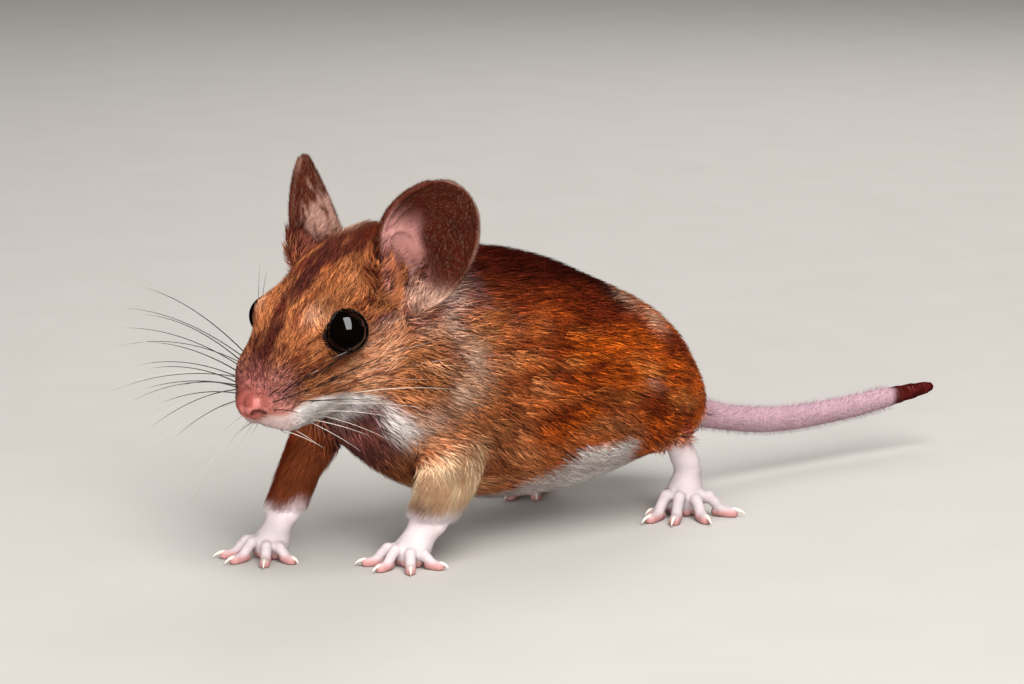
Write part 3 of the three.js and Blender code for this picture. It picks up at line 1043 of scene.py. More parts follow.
# Patches of another colour on both sides of the body. Each is its place in the solids' working
# frame and its size, both as [across, along, up], and how strong it is.
RUFF = [  # pale fur in front of and below the ear
    ([7.4, 10.2, 33.4], [2.2, 1.8, 2.2], 0.95),
    ([9.3, 8.6, 30.0], [2.4, 1.3, 2.2], 0.85),
    ([10.9, 10.6, 25.2], [2.6, 1.5, 2.4], 0.8),
    ([10.8, 8.4, 21.2], [2.6, 2.0, 1.8], 0.7),
    ([9.8, 4.6, 18.6], [2.6, 2.2, 1.6], 0.75),
    ([8.6, 5.2, 29.4], [2.0, 1.8, 1.6], 0.35),
    ([6.6, 1.6, 14.6], [2.0, 1.4, 3.0], 0.6),
]
PARTINGS = [  # dark gaps in the neck's fur
    ([7.4, 13.4, 33.6], [2.4, 0.8, 1.7], 0.8),
    ([8.2, 14.0, 31.6], [2.2, 0.6, 1.2], 0.7),
    ([9.9, 9.4, 29.0], [2.2, 0.55, 1.1], 0.5),
    ([10.4, 8.2, 26.8], [2.2, 0.75, 1.5], 0.75),
    ([10.4, 17.2, 28.8], [2.4, 0.6, 1.7], 0.75),
    ([11.3, 22.0, 27.8], [2.4, 0.6, 1.0], 0.4),
]
UMBER = [  # brown smudges on the flank
    ([12.6, 23.6, 22.4], [3.0, 1.1, 1.0], 0.75),
    ([12.9, 24.4, 18.0], [3.0, 1.7, 1.8], 0.7),
    ([12.2, 22.6, 13.8], [3.0, 1.3, 1.3], 0.6),
    ([13.3, 32.0, 20.3], [3.0, 1.5, 0.7], 0.8),
    ([9.7, 34.6, 27.6], [3.0, 2.4, 1.2], 0.6),
    ([13.4, 40.5, 12.0], [3.0, 4.0, 1.8], 0.9),
]
TAWNY = [  # golden streaks on the flank and the shoulder
    ([13.5, 32.6, 18.0], [3.0, 3.6, 1.2], 0.7),
    ([13.2, 29.6, 14.8], [3.0, 3.0, 1.3], 0.7),
    ([12.8, 33.2, 12.8], [3.0, 3.2, 1.0], 0.65),
    ([12.8, 35.5, 22.0], [3.0, 2.6, 1.1], 0.6),
    ([9.7, 15.7, 30.0], [2.4, 0.9, 2.0], 0.7),
    ([10.9, 20.6, 28.0], [2.4, 1.6, 1.0], 0.6),
    ([11.4, 26.3, 26.4], [2.4, 1.4, 0.8], 0.6),
]
FAWN_AND_HIGHLIGHT = [  # pale fur over the haunch, partly painted highlight where the rump mirrors the sky
    ([6.8, 39.2, 28.6], [3.0, 2.0, 1.5], 0.85),
    ([8.8, 41.6, 25.6], [3.0, 1.7, 1.4], 0.85),
    ([13.3, 37.6, 18.8], [3.0, 2.0, 0.8], 0.25),
]


def patched(colour, folded, patches, tint):
    """A colour moved towards a tint in soft patches."""
    for at, size, strength in patches:
        local = (folded - at) / np.array(size)
        colour = mixed(colour, tint, strength * np.exp(-np.sum(local**2, 1)))
    return colour


def up_the_side(points):
    """How far up the body a point is, from 0 at the belly to 1 at the back, and the white's line."""
    back, belly, line = SIDE(points[:, 1] - SHIFT[1]).T
    return (points[:, 2] - belly) / (back - belly), line


def either_side(points):
    """Points in the solids' working frame, with the right side's folded onto the left's."""
    local = points - SHIFT
    return np.column_stack([np.abs(local[:, 0]), local[:, 1:]])


PATCHES = [
    (TAWNY, AMBER * 1.05),
    (UMBER, BROWN * 0.9),
    (RUFF, mixed(BUFF, WHITE, 0.4)),
    (PARTINGS, SLATE),
    # pale fur over the haunch, partly painted highlight
    (FAWN_AND_HIGHLIGHT, BUFF * 1.1),
]


def flank_colour(points, y, up, shoulder):
    """Russet behind and ochre on the shoulder, with light flecks and brown mottles."""
    ochre = OCHRE * (0.82 + 0.33 * smoothstep(6, 17, y))[:, None]
    light = smoothstep(0.05, 0.6, noise(points, [3, 4.4, 1.9], 17)) * smoothstep(0.75, 0.6, up)
    flecks = mixed(AMBER, mixed(OCHRE, BUFF, 0.22), shoulder)
    colour = mixed(mixed(RUSSET, ochre, shoulder * 0.92), flecks, 0.85 * light)
    spots = noise(points, [2.4, 3.8, 1.7], 16) + 0.35 * noise(points, [1, 1.6, 0.9], 19)
    mottle = smoothstep(-0.05, 0.4, spots) * (0.92 - 0.5 * shoulder) * smoothstep(1.6, 0.2, light)
    return mixed(colour, BROWN * 0.85, mottle)


def darker_above(colour, points, y, up):
    """A colour made browner high on the flank and darkest along the back, less so over the loins."""
    saddle = 1 - 0.85 * smoothstep(36.5, 41, y) * smoothstep(54, 49, y)
    upper = smoothstep(0.64, 0.82, up + 0.06 * noise(points, [2, 4, 2], 20))
    colour = mixed(colour, BROWN, 0.85 * upper * saddle)
    return mixed(colour, BACK_BROWN, smoothstep(0.76, 0.93, up) * saddle)


def belly_colour(points, across, y):
    """White, greyer in patches, and brown between the fore legs: partly the fur's own brown, partly painted
    shade beneath the head.
    """
    # painted shade in part: the chest's front between the fore legs is browned
    inner = smoothstep(7.5, 4.5, across + noise(points, 2.5, 24)) * smoothstep(20, 6, y)
    dull = 0.08 + 0.2 * noise(points, 3, 5) + 0.3 * smoothstep(29, 22, y) * smoothstep(12, 17, y)
    return mixed(WHITE * 1.1, BROWN * 0.6 + SLATE * 0.15, np.clip(dull + 0.95 * inner, 0, 0.97))


def belly_share(points, y, z, up, line):
    """1 below the line of the belly's white and up the throat."""
    wander = 0.7 * noise(points, 3, 18)
    throat = smoothstep(1.5, -1.5, y - 4 + 0.95 * np.maximum(z - 17.5, 0) + wander)
    return np.maximum(smoothstep(line, line - 0.05, up), throat * smoothstep(22.5, 20, z))


def trunk_colour(points):
    """Russet, dark along the back and mottled; golden on the shoulder; white-grey beneath."""
    folded = either_side(points)
    across, y, z = folded.T
    up, line = up_the_side(points)
    up = up + 0.04 * noise(points, [2.5, 5, 2.5], 3)
    shoulder = smoothstep(25.5, 13, y + 4 * noise(points, 5, 4))
    colour = darker_above(flank_colour(points, y, up, shoulder), points, y, up)
    for patches, tint in PATCHES:
        colour = patched(colour, folded, patches, tint)
    hem = bell(up, line + 0.05, 0.05) * smoothstep(16, 22, y) * smoothstep(44, 36, y)
    colour = mixed(colour, OCHRE, 0.5 * hem)
    return mixed(colour, belly_colour(points, across, y), belly_share(points, y, z, up, line))


def crest(points):
    """1 on the pale tuft that stands up beside the right ear."""
    ahead, left, _ = in_head(points).T
    return bell(ahead, -12.3, 1.8) * bell(left, -2.3, 1.5)


def forehead_stripe(points, wander):
    """1 on the dark streaky stripe down the middle of the head."""
    local = in_head(points)
    ahead, left, up = local.T
    aside = np.abs(left) * (1 + 0.07 * np.minimum(ahead, 0))
    stripe = smoothstep(2.5, 0.9, aside + 2.4 * wander) * smoothstep(-3.0, 0.5, up + 0.35 * ahead)
    stripe = stripe * (1 - 0.6 * bell(ahead, 2.4, 1.6)) * smoothstep(10.8, 8, ahead)
    return stripe * (1 - 0.55 * smoothstep(0.05, 0.5, noise(local, [2.2, 0.8, 0.8], 27)))


def head_tints(points, wander, streaks):
    """The markings of the upper head: each one's colour, and how strong it is at each point."""
    ahead, left, up = in_head(points).T
    aside = np.abs(left)
    stripe = forehead_stripe(points, wander)
    crown = smoothstep(4.8, 6.6, up + wander)
    dark = np.clip(0.95 * stripe + 0.55 * crown + 0.62 * streaks, 0, 0.95)
    yield mixed(BROWN, SLATE, 0.08) * 0.8, dark
    yield DUSK, 0.75 * stripe * (0.75 + 0.5 * wander)
    temple = bell(ahead + 0.8 * up, -6.0, 2.6) * bell(up - 0.15 * ahead, -1.4, 1.0)
    temple = temple * smoothstep(6, 8, aside)
    yield mixed(BROWN, SLATE, 0.7) * 0.8, temple * (0.65 + 0.35 * streaks)
    before_ear = bell(ahead, -7.6, 1.3) * bell(up, 3.0, 1.7) * smoothstep(5.0, 6.2, aside)
    yield BROWN * 0.8, 0.65 * before_ear
    cheek = smoothstep(-0.5, -4.5, up) * smoothstep(8.5, -1, ahead)
    yield BUFF * 0.95, 0.28 * cheek * (1 - 0.8 * streaks)
    brow = bell(ahead, 2.2, 1.6) * bell(up, 3.2, 1.2) * smoothstep(3, 4.5, aside)
    yield BUFF, 0.3 * brow
    nape = smoothstep(-8, -13, ahead) * smoothstep(0, 4, up + 2 * wander)
    yield BROWN * 0.7, 0.75 * nape
    ticked = smoothstep(3.5, 7.5, ahead) * smoothstep(-3.5, -0.5, up + 0.2 * (ahead - 8))
    yield BROWN * 0.5, 0.36 * ticked
    bare = smoothstep(6.8, 10.8, ahead + 1.6 * wander) * smoothstep(-6.9, -5.2, up)
    yield mixed(PINK, BUFF, 0.15) * 0.9, 0.85 * bare * smoothstep(1.8, -0.9, up)
    yield BUFF, 0.7 * crest(points)
    far_root = bell(ahead, -8.9, 2.6) * bell(up, 5.0, 2.6) * smoothstep(-4.8, -6.2, left)
    yield mixed(BROWN, SLATE, 0.35) * 0.65, 0.85 * far_root


def lip_colour(points, wander):
    """White, buff towards the throat, pinker in front and slate on the chin."""
    ahead, left, up = in_head(points).T
    white = mixed(WHITE * 1.1, BUFF, 0.35 * smoothstep(2, -6, ahead))
    front = smoothstep(9.4, 11.2, ahead + wander) * smoothstep(-7.6, -6.6, up)
    white = mixed(white, mixed(PINK, BROWN, 0.3), 0.45 * front)
    chin = smoothstep(-8.2, -9.4, up) * smoothstep(9, 6, np.abs(left))
    return mixed(white, SLATE * 1.4, 0.5 * chin)


def head_colour(points):
    """Gold ticked with dark brown, darkest down the middle; a white lip and a pink muzzle."""
    local = in_head(points)
    ahead, _, up = local.T
    wander = 0.5 * noise(points, 2.2, 6)
    streaks = smoothstep(0.0, 0.55, noise(local, [3.4, 0.8, 0.8], 7))
    bright = OCHRE * (0.92 + 0.33 * smoothstep(-2, 4, ahead))[:, None]
    colour = mixed(bright, RUSSET * 0.8, 0.2 + 0.3 * wander)
    for tint, share in head_tints(points, wander, streaks):
        colour = mixed(colour, tint, share)
    behind = 9.2 - ahead
    lip_line = -4.75 - 0.04 * behind - 0.05 * np.maximum(behind, 0) ** 2
    lip = smoothstep(0.35, -0.6, up - lip_line + wander * 0.6)
    return mixed(colour, lip_colour(points, wander), lip)


def nose_colour(points):
    """Deep pink, with paler flesh in patches."""
    paler = smoothstep(0.0, 0.5, noise(points, 1.0, 26))
    return mixed(NOSE_PINK, PINK, 0.7 * paler)


BARE_FORE, BARE_HIND = 6.7, 10.6  # the heights where the legs' fur ends
WRIST_MARK = [([9.0, 4.2, 7.6], [2.6, 1.5, 1.1], 0.8)]  # a patch, as on the body


def bare_from(points):
    return np.where(is_hind(points), BARE_HIND, BARE_FORE)


def leg_colour(points):
    """Ochre, browner down the outer side, then short white hair over the wrist and the heel. The right legs
    are brown all over and uncuffed: partly the fur's brown, partly painted shade.
    """
    hind = is_hind(points)
    across = points[:, 0] - SHIFT[0]
    edge = bare_from(points)
    low = smoothstep(edge + 1.3, edge - 0.6, points[:, 2] + 1.1 * noise(points, 1.3, 8))
    outer = smoothstep(6.6, 8.4, np.abs(across) + 0.8 * noise(points, 2, 9))
    # painted shade: the right legs, away from the light, are brown all over and lack the pale cuff, on top
    # of the outer side's own brown
    brown = np.where(across < 0, 0.78 + 0.2 * outer, 0.04 * outer)
    pale = smoothstep(20, 11, points[:, 2]) * (0.85 + 0.4 * noise(points, [0.8, 0.8, 2.6], 28))
    base = mixed(OCHRE, CUFF, np.clip(pale, 0, 1) * (across >= 0))
    colour = mixed(base, BROWN * 0.8, brown)
    colour = patched(colour, either_side(points), WRIST_MARK, BROWN * 0.8)
    colour = mixed(colour, RUSSET * 0.6, 0.8 * hind)
    return mixed(colour, PALE_PINK * np.where(hind, 0.5, 1)[:, None], low)


def ear_place(points, side):
    """Where points are on an ear's sheet: share of its rise, t across, and how far before it.

    The last value is 1 on the sheet's front and 0 on its rear.
    """
    axes, root = ear_axes(side)
    face, across, rise = ((points - root) @ axes.T).T
    share = rise / EAR_LENGTH[side]
    inner, outer, depth = EAR(share).T
    t = (across - inner) / np.maximum(outer - inner, 0.5)
    bow = ear_bow(t)
    before = face + depth * (bow - CUP_FRONT)
    front = smoothstep(-0.65, -0.35, before / ear_thickness(bow))
    return share, t, before, front


def in_cup(points):
    """1 for the part of the head that lies inside an ear's cup."""
    found = np.zeros(len(points))
    for side in SIDES.values():
        share, t, before, _ = ear_place(points, side)
        inside = smoothstep(0.05, 0.12, t) * smoothstep(1.0, 0.9, t) * smoothstep(-0.4, 0.2, before)
        inside = inside * smoothstep(6.4, 5.4, before) * smoothstep(-0.12, -0.06, share) * (share < 0.6)
        found = np.maximum(found, inside * (points[:, 0] * side > 0))
    return found * (1 - at_ear_root(points))


def flesh_pink(points, side):
    """1 low in an ear's cup, where it is bare and pink."""
    share, t, _, front = ear_place(points, side)
    wander = 0.04 * noise(points, 2, 10)
    pink = smoothstep(0.65, 0.5, t + 0.3 * share + wander)
    pink = pink * smoothstep(0.8, 0.42, share + 0.3 * t + wander)
    return pink * front * smoothstep(0.01, 0.05, t)


def bare_cup(points):
    """The pink of whichever ear a point is on."""
    return np.where(points[:, 0] > 0, flesh_pink(points, 1), flesh_pink(points, -1))


def one_ear_colour(points, side):
    """The colour of one ear, at points on it."""
    share, t, _, front = ear_place(points, side)
    dark = EAR_DARK * (1 + 0.35 * noise(points, 1.2, 12)[:, None])
    dark = mixed(dark, BROWN * 0.7, 0.15 * bell(share, 0.8, 0.25) * smoothstep(0.7, 0.2, t))
    flesh = EAR_PINK * (1 + 0.1 * noise(points, 1.3, 11)[:, None])
    tone = mixed(dark, flesh, flesh_pink(points, side))
    # painted rim light: a thin pale rim along the ears' outer edges and the right ear's inner edge
    rim = np.maximum(smoothstep(0.975, 0.998, t), smoothstep(0.975, 0.995, share))
    inner_rim_light = smoothstep(0.03, 0.01, t) * smoothstep(0.75, 0.88, share) * (side < 0)
    tone = mixed(tone, EAR_RIM_LIGHT, 0.3 * np.maximum(rim * smoothstep(0.3, 0.6, share), inner_rim_light))
    streaks = 0.2 * noise(points, [0.7, 0.7, 2.2], 25)
    band = smoothstep(0.66, 0.4, share + 1.3 * streaks) * smoothstep(0.2, 0.32, share)
    band = band * smoothstep(0.02, 0.1, t + 0.3 * streaks) * smoothstep(0.62, 0.3, t)
    tone = mixed(tone, mixed(BUFF, EAR_PINK, 0.5), 0.5 * band * (1 - front))
    base = OCHRE * 0.8 if side > 0 else mixed(OCHRE, BROWN, 0.75) * 0.6
    return mixed(tone, base, smoothstep(0.1, -0.06, share) * (1 - front))


def ear_colour(points):
    """Dark outside and in a broad band within, pink low in the cup, with a thin pale rim of painted rim
    light.
    """
    colour = np.empty_like(points)
    for side in SIDES.values():
        mine = points[:, 0] * side > 0
        colour[mine] = one_ear_colour(points[mine], side)
    return colour


def tail_colour(points):
    """Lilac, with painted shade beneath, and red where the tip is raw."""
    raw = smoothstep(RAW_FROM - 1.6, RAW_FROM + 0.4, points[:, 1] + 0.6 * noise(points, 0.9, 13))
    # painted shade: the tail's underside is darkened
    low = smoothstep(0.6, -1.2, points[:, 2] - 8 + 0.4 * noise(points, 1.5, 14))
    colour = mixed(TAIL_LILAC, TAIL_LILAC * 0.75, 0.5 * low)
    return mixed(colour, RAW_RED * (1 + 0.5 * noise(points, 0.7, 15)[:, None]), raw)


def under_ear(points):
    """1 on the short pale fur below an ear's opening."""
    ahead, aside, up = in_head(points).T
    return bell(ahead, -10.4, 1.8) * bell(up, -2.1, 1.4) * smoothstep(5.2, 6.2, np.abs(aside))


def paw_colour(points):
    """Pale pink, deeper under the pads."""
    low_leg = mixed(PALE_PINK, PINK, 0.4 * smoothstep(1.2, 0.3, points[:, 2]))
    return low_leg * np.where(is_hind(points), 0.49, 0.57)[:, None]


def markings(points, fur=False):
    """The animal's colour anywhere on it, painted shade and highlights included: skin and coat both take it
    from here.
    """
    legs = leg_colour(points)
    colour = blended(points, {
        "trunk": trunk_colour(points),
        "head": head_colour(points),
        "nose": nose_colour(points),
        "ear": ear_colour(points),
        "arm": legs,
        "shin": legs,
        "paw": paw_colour(points),
        "tail": tail_colour(points),
    })
    colour = mixed(colour, mixed(BUFF, EAR_PINK, 0.35), 0.8 * under_ear(points))
    if fur:  # the ears' cups are pink only where they are bare
        return colour
    return mixed(colour, EAR_PINK * 1.05, in_cup(points) * (1 - SHARES["ear"].at(points)))


# The lie of the coat -----------------------------------------------------------------------

def leg_way(points):
    """Straight down a hind leg, and along whichever fore leg is nearer."""
    way = np.zeros_like(points)
    for name, side in SIDES.items():
        mine = points[:, 0] * side > 0
        way[mine] = unit(centre(f"fore_foot_{name}") - centre(f"upper_arm_{name}"))
    return np.where(is_hind(points)[:, None], vec(0, -0.1, -1), way)


def foot_way(points):
    """Along the nearest foot and down."""
    way = np.zeros_like(points)
    best = np.full(len(points), np.inf)
    for name, foot in FEET.items():
        gap = np.linalg.norm(points - centre(name), axis=1)
        mine = gap < best
        best[mine] = gap[mine]
        way[mine] = turned(foot["heading"]) - vec(0, 0, 0.5)
    return way


def trunk_way(points, normals):
    """Back along the body, down over the rump and the breast."""
    y = points[:, 1] - SHIFT[1]
    down = np.abs(normals[:, :1]) * vec(0, 0, -0.45)
    rear = smoothstep(46, 56, y)[:, None]
    way = (vec(0, 1, 0) + down) * (1 - rear) + vec(0, -0.3, -1) * rear
    breast = smoothstep(3, -5, y) * smoothstep(26, 14, points[:, 2])
    return way + breast[:, None] * vec(0, -0.2, -1.1)


def head_way(points):
    """Back from the nose, up the brow, down the throat, and away from the eyes and the ears."""
    up = in_head(points)[:, 2]
    rise = 0.25 * smoothstep(-2, 3, up) - 0.3 * smoothstep(-3, -8, up)
    way = rise[:, None] * CROWN - FORWARD
    way = way + near_ear(points)[:, None] * (0.9 * CROWN - 0.2 * FORWARD)
    for at in EYES.values():
        away = points - at
        gap = np.linalg.norm(away, axis=1)[:, None]
        way = way + 1.1 * away / gap * smoothstep(EYE_RADIUS + 2.6, EYE_RADIUS + 0.2, gap)
    return way


def lie(points, normals):
    """The way the coat lies: back from the nose, down the flanks and legs, in to the tail."""
    head, legs = head_way(points), leg_way(points)
    way = blended(points, {
        "trunk": trunk_way(points, normals),
        "head": head,
        "nose": head,
        "ear": np.where(points[:, :1] > 0, ear_axes(1)[0][2], ear_axes(-1)[0][2]),
        "arm": legs,
        "shin": legs,
        "paw": foot_way(points),
        "tail": vec(0, 1, 0),
    })
    way = way + 0.16 * np.stack([noise(points, 5, seed) for seed in (21, 22, 23)], -1)
    return unit(way - np.sum(way * normals, 1, keepdims=True) * normals)


def near_ear(points):
    """1 on the head round an ear's root, fading out over a few millimetres."""
    gap = np.inf
    for side in SIDES.values():
        axes, root = ear_axes(side)
        gap = np.minimum(gap, np.linalg.norm(points - root - 1.5 * axes[0], axis=1))
    return smoothstep(8.0, 4.5, gap)


def coat_length(points):
    """How long the tufts are: longest on the body, short on the face and low on the legs."""
    share = shares(points)
    head = 1.0 + 2.6 * smoothstep(9, -8, in_head(points)[:, 0])
    head = head * (0.38 + 0.62 * smoothstep(0.2, 2.8, eye_gap(points)))
    edge = bare_from(points)
    reach = np.where(is_hind(points), 6, 2.6)
    leg = 0.6 + 2.8 * smoothstep(edge - 1.2, edge + reach, points[:, 2])
    y = points[:, 1] - SHIFT[1]
    haunch = smoothstep(38, 42, y) * smoothstep(17, 12.5, points[:, 2])
    dock = smoothstep(49, 55, y)
    body = 5.2 * (1 - 0.84 * np.maximum(haunch, dock)) * (1 - 0.35 * near_ear(points))
    return (
        share["trunk"] * body
        + share["head"] * head * (1 - 0.6 * near_ear(points))
        + (share["arm"] + share["shin"]) * leg
        + (share["paw"] + share["ear"]) * 0.6
        + share["nose"] * 0.4
        + share["tail"] * 0.5
    )


DEPTH = Field(COARSE_GRID, coat_depth())


# The coat ----------------------------------------------------------------------------------

class Skin:
    """The finished skin, for reading and for scattering roots over."""

    def __init__(self, points, quads):
        self.points = points
        self.quads = quads
        low, high = (np.array(c) / METRE for c in CAD_BOX)
        step = FINE * 1.5
        first = np.floor((low - MARGIN) / step)
        self.grid = Grid(step, first, np.ceil((high + MARGIN) / step) - first + 1)
        self.field = Field(self.grid, distances(self.grid, points, quads, 3.0))
        corner = [points[quads[:, k]] for k in range(4)]
        self.first = np.concatenate([corner[0], corner[0]])
        self.edges = [
            np.concatenate([corner[1], corner[2]]) - self.first,
            np.concatenate([corner[2], corner[3]]) - self.first,
        ]
        self.area = np.linalg.norm(np.cross(*self.edges), axis=1) / 2
        self.middle = self.first + (self.edges[0] + self.edges[1]) / 3
        self.order = np.argsort(self.middle[:, 1] // 2, kind="stable")  # from front to back

    def scattered(self, count, density):
        """Root points, spread evenly except where density says more or fewer."""
        weight = (self.area * density)[self.order]
        edge = np.cumsum(weight)
        picks = (np.arange(count) + rng.uniform(0, 1, count)) / count * edge[-1]
        face = self.order[np.minimum(np.searchsorted(edge, picks), len(edge) - 1)]
        a, b = rng.uniform(0, 1, (2, count, 1))
        a, b = np.where(a + b > 1, 1 - a, a), np.where(a + b > 1, 1 - b, b)
        return self.first[face] + a * self.edges[0][face] + b * self.edges[1][face]


def tuft_points(root, mid, tip, side, lift, width, bent):
    """Each tuft as a slender spike on three corners, bent once if it is long."""
    def ring(at, share):
        wide = side * (width * share)[:, None]
        thick = lift * (width * share * 0.55)[:, None]
        return [at - wide, at + wide, at + thick]

    levels = ring(root, 1.0) + (ring(mid, 0.8) if bent else []) + [tip]
    return np.stack(levels, 1)


BENT_FACES = np.array([
    [0, 2, 1],
    [0, 1, 4], [0, 4, 3], [1, 2, 5], [1, 5, 4], [2, 0, 3], [2, 3, 5],
    [3, 4, 6], [4, 5, 6], [5, 3, 6],
])
STRAIGHT_FACES = np.array([[0, 2, 1], [0, 1, 3], [1, 2, 3], [2, 0, 3]])
PATCH = 0.0014  # half of a tuft's patch in its map
ROOTED = 0.06  # how deep the tufts start under the skin


def unwrapped_ears(points):
    """Places on each ear's own face, its two faces and the two ears side by side."""
    flat = np.empty((len(points), 2))
    for side in SIDES.values():
        mine = points[:, 0] * side > 0
        axes, root = ear_axes(side)
        face, across, rise = ((points[mine] - root) @ axes.T).T
        flat[mine] = np.column_stack([across + (face > -1) * 16 + (side > 0) * 32, rise])
    return flat


def unwrapped_legs(points):
    """Places round each leg and along it, the four legs side by side."""
    leg = (points[:, 0] > 0) * 1 + is_hind(points) * 2
    middles = np.array([points[leg == k].mean(0) for k in range(4)])
    local = points - middles[leg]
    return np.column_stack([np.arctan2(local[:, 0], local[:, 1]) + 7 * leg, points[:, 2]])


def unwrapped(points, kind):
    """Flat places for roots, from 0 to 1: round and along the trunk, head, tail, legs or ears."""
    if kind == "ear":
        flat = unwrapped_ears(points)
    elif kind == "leg":
        flat = unwrapped_legs(points)
    elif kind == "head":
        ahead, aside, up = in_head(points).T
        flat = np.column_stack([np.arctan2(aside, up + 4), ahead])
    else:
        height = 8 if kind == "tail" else 20
        across = points[:, 0] - SHIFT[0]
        flat = np.column_stack([np.arctan2(across, points[:, 2] - height), points[:, 1]])
    low, high = flat.min(0), flat.max(0)
    return 0.004 + 0.992 * (flat - low) / (high - low)


def agouti(colour, points):
    """Each tuft's colours from root to tip: slate below, then its band, and its own tip."""
    count = len(points)
    kind = rng.uniform(0, 1, count)
    pale = smoothstep(0.26, 0.38, colour[:, 1])
    ahead, _, up = in_head(points).T
    brow = smoothstep(-9, -4, ahead) * smoothstep(-5, -1, up)
    muzzle = smoothstep(4, 8, ahead) * smoothstep(-5.5, -4, up)
    tone = 1 + 0.26 * rng.normal(0, 1, count) * (1 - 0.6 * pale)
    tone = tone * (1 + 0.22 * noise(points, [1.4, 3.2, 1.4], 31) * (1 - 0.5 * pale))
    band = colour * np.clip(tone, 0.35, 1.8)[:, None]
    guard = (kind < 0.14 + 0.2 * brow + 0.4 * muzzle) * (1 - pale)
    band = mixed(band, band * vec(0.24, 0.2, 0.26), guard)
    ticked = (kind > 0.8) * (1 - pale)
    band = mixed(band, band * vec(1.4, 1.45, 1.6), ticked)
    root = mixed(SLATE * 0.35, band, 0.35)
    tip = band * rng.uniform(0.85, 1.25, (count, 1))
    frosted = (kind > 0.72) * SHARES["ear"].at(points) * smoothstep(0.2, 0.1, colour[:, 0])
    tip = mixed(tip, BUFF * 0.5, 0.75 * frosted)
    return root, np.clip(band, 0, 1), np.clip(tip, 0, 1)


def tuft_levels(low, band, end, bent):
    """A tuft's colours, corner by corner from its root to its tip."""
    if bent:
        return [low] * 3 + [band] * 3 + [end]
    shade = 0.7 + 0.3 * smoothstep(0.26, 0.5, band[:, 1:2])  # pale hair is pale to its root
    return [band * shade] * 3 + [end]


def patch_corners(bent):
    """A tuft's corners on its patch of the map."""
    middle = [(-1, 0.2), (1, 0.2), (0, 0.2)] if bent else []
    return PATCH * np.array([(-1, -1), (1, -1), (0, -1), *middle, (0, 1)])


def coat_piece(name, skin, roots, kind, width, bent, material, stand=1.0, clump=0.5, lock=1.7):
    """One joined mesh of tufts, rooted in the skin and lying along it."""
    count = len(roots)
    normals = skin.field.slope(roots)
    way = lie(roots, normals)
    aside = np.cross(normals, way)
    way = unit(way + aside * rng.normal(0, 0.2, (count, 1)))
    length = coat_length(roots) * rng.uniform(0.75, 1.2, count)
    height = DEPTH.at(roots) * rng.uniform(0.5, 1.04, count) * stand + 0.05
    height = height * (0.3 + 0.7 * smoothstep(0.1, 1.6, eye_gap(roots)))
    height = height + 1.3 * crest(roots) ** 2 * smoothstep(4, 6, in_head(roots)[:, 2])
    pull = gathering(roots, lock, 41) - roots
    pull = (pull - np.sum(pull * normals, 1, keepdims=True) * normals) * clump
    mid = skin.field.lifted(roots + way * (0.5 * length)[:, None] + 0.35 * pull, height * 0.66)
    tip = skin.field.lifted(roots + way * length[:, None] + pull, height)
    side = np.cross(way, normals)
    wide = width * rng.uniform(0.7, 1.3, count)
    points = tuft_points(roots - normals * ROOTED, mid, tip, side, normals, wide, bent)
    points[..., 2] = np.maximum(points[..., 2], 0.01)  # no tuft goes through the floor
    faces = BENT_FACES if bent else STRAIGHT_FACES
    joined = faces[None] + (np.arange(count) * points.shape[1])[:, None, None]
    seen = markings(roots + way * (0.45 * length)[:, None], fur=True)
    colours = np.stack(tuft_levels(*agouti(seen, roots), bent), 1)
    bake = unwrapped(roots, kind)[:, None, :] + patch_corners(bent)
    return make_piece(
        name,
        points.reshape(-1, 3),
        joined.reshape(-1, 3),
        material,
        colours=colours.reshape(-1, 3),
        bake=bake.reshape(-1, 2),
    )


def split(points, parts):
    """Points cut into equal lots from front to back."""
    order = np.argsort(points[:, 1])
    return [points[lot] for lot in np.array_split(order, parts)]


TRUNK_TUFTS = 84000
TRUNK_PIECES = ["coat_neck", "coat_shoulders", "coat_sides", "coat_loins", "coat_rump"]


def open_skin(points):
    """1 where fur can grow: not over the eyes or in the ears' cups."""
    lids = np.minimum.reduce([opening(points) for opening in OPENINGS.values()])
    return smoothstep(0.15, 0.4, lids) * (1 - 0.97 * in_cup(points))


def make_coat(skin, material):
    """The coat's pieces, each with its own density, thickness and stand."""
    at = skin.middle
    share = shares(at)
    grows = open_skin(at)
    ahead, _, up = in_head(at).T
    front = np.clip(smoothstep(1.5, 5.5, ahead) + smoothstep(3.2, 0.8, eye_gap(at)), 0, 1)
    face = share["head"] + share["nose"]
    legs = share["arm"] + share["shin"]
    sparse_nose = 1 - 0.92 * smoothstep(9.8, 12.0, ahead) * smoothstep(-7.0, -6.0, up) * face
    body = share["trunk"] + share["arm"] * smoothstep(6.5, 9.5, at[:, 2])
    foot_hair = np.where(is_hind(at), BARE_HIND + 0.5, BARE_FORE - 1)
    unraw = smoothstep(RAW_FROM, RAW_FROM - 3, at[:, 1])

    def coat(name, count, density, kind, width, bent=False, **style):
        roots = skin.scattered(count, density)
        coat_piece(name, skin, roots, kind, width, bent, material, **style)

    roots = skin.scattered(TRUNK_TUFTS, body**2 * grows)
    for name, lot in zip(TRUNK_PIECES, split(roots, len(TRUNK_PIECES))):
        coat_piece(name, skin, lot, "trunk", 0.095, True, material)
    hairy_head = share["head"] ** 2 * (1 - front) * grows
    coat("coat_head", 19500, hairy_head, "head", 0.07, True, clump=0.4, lock=1.3)
    hairy_face = face**2 * front * grows * sparse_nose
    coat("coat_face", 47000, hairy_face, "head", 0.045, stand=1.2, clump=0.3, lock=0.8)
    hairy_legs = legs**2 * smoothstep(-0.5, 0.5, at[:, 2] - foot_hair)
    coat("coat_legs", 34000, hairy_legs, "leg", 0.05, stand=1.1, clump=0.3, lock=0.9)
    hairy_ears = share["ear"] ** 2 * (1 - 0.93 * bare_cup(at))
    coat("coat_ears", 26000, hairy_ears, "ear", 0.026, clump=0.2, lock=0.6)
    coat("coat_tail", 6000, share["tail"] ** 2 * unraw, "tail", 0.018, clump=0.0)


# Materials ---------------------------------------------------------------------------------

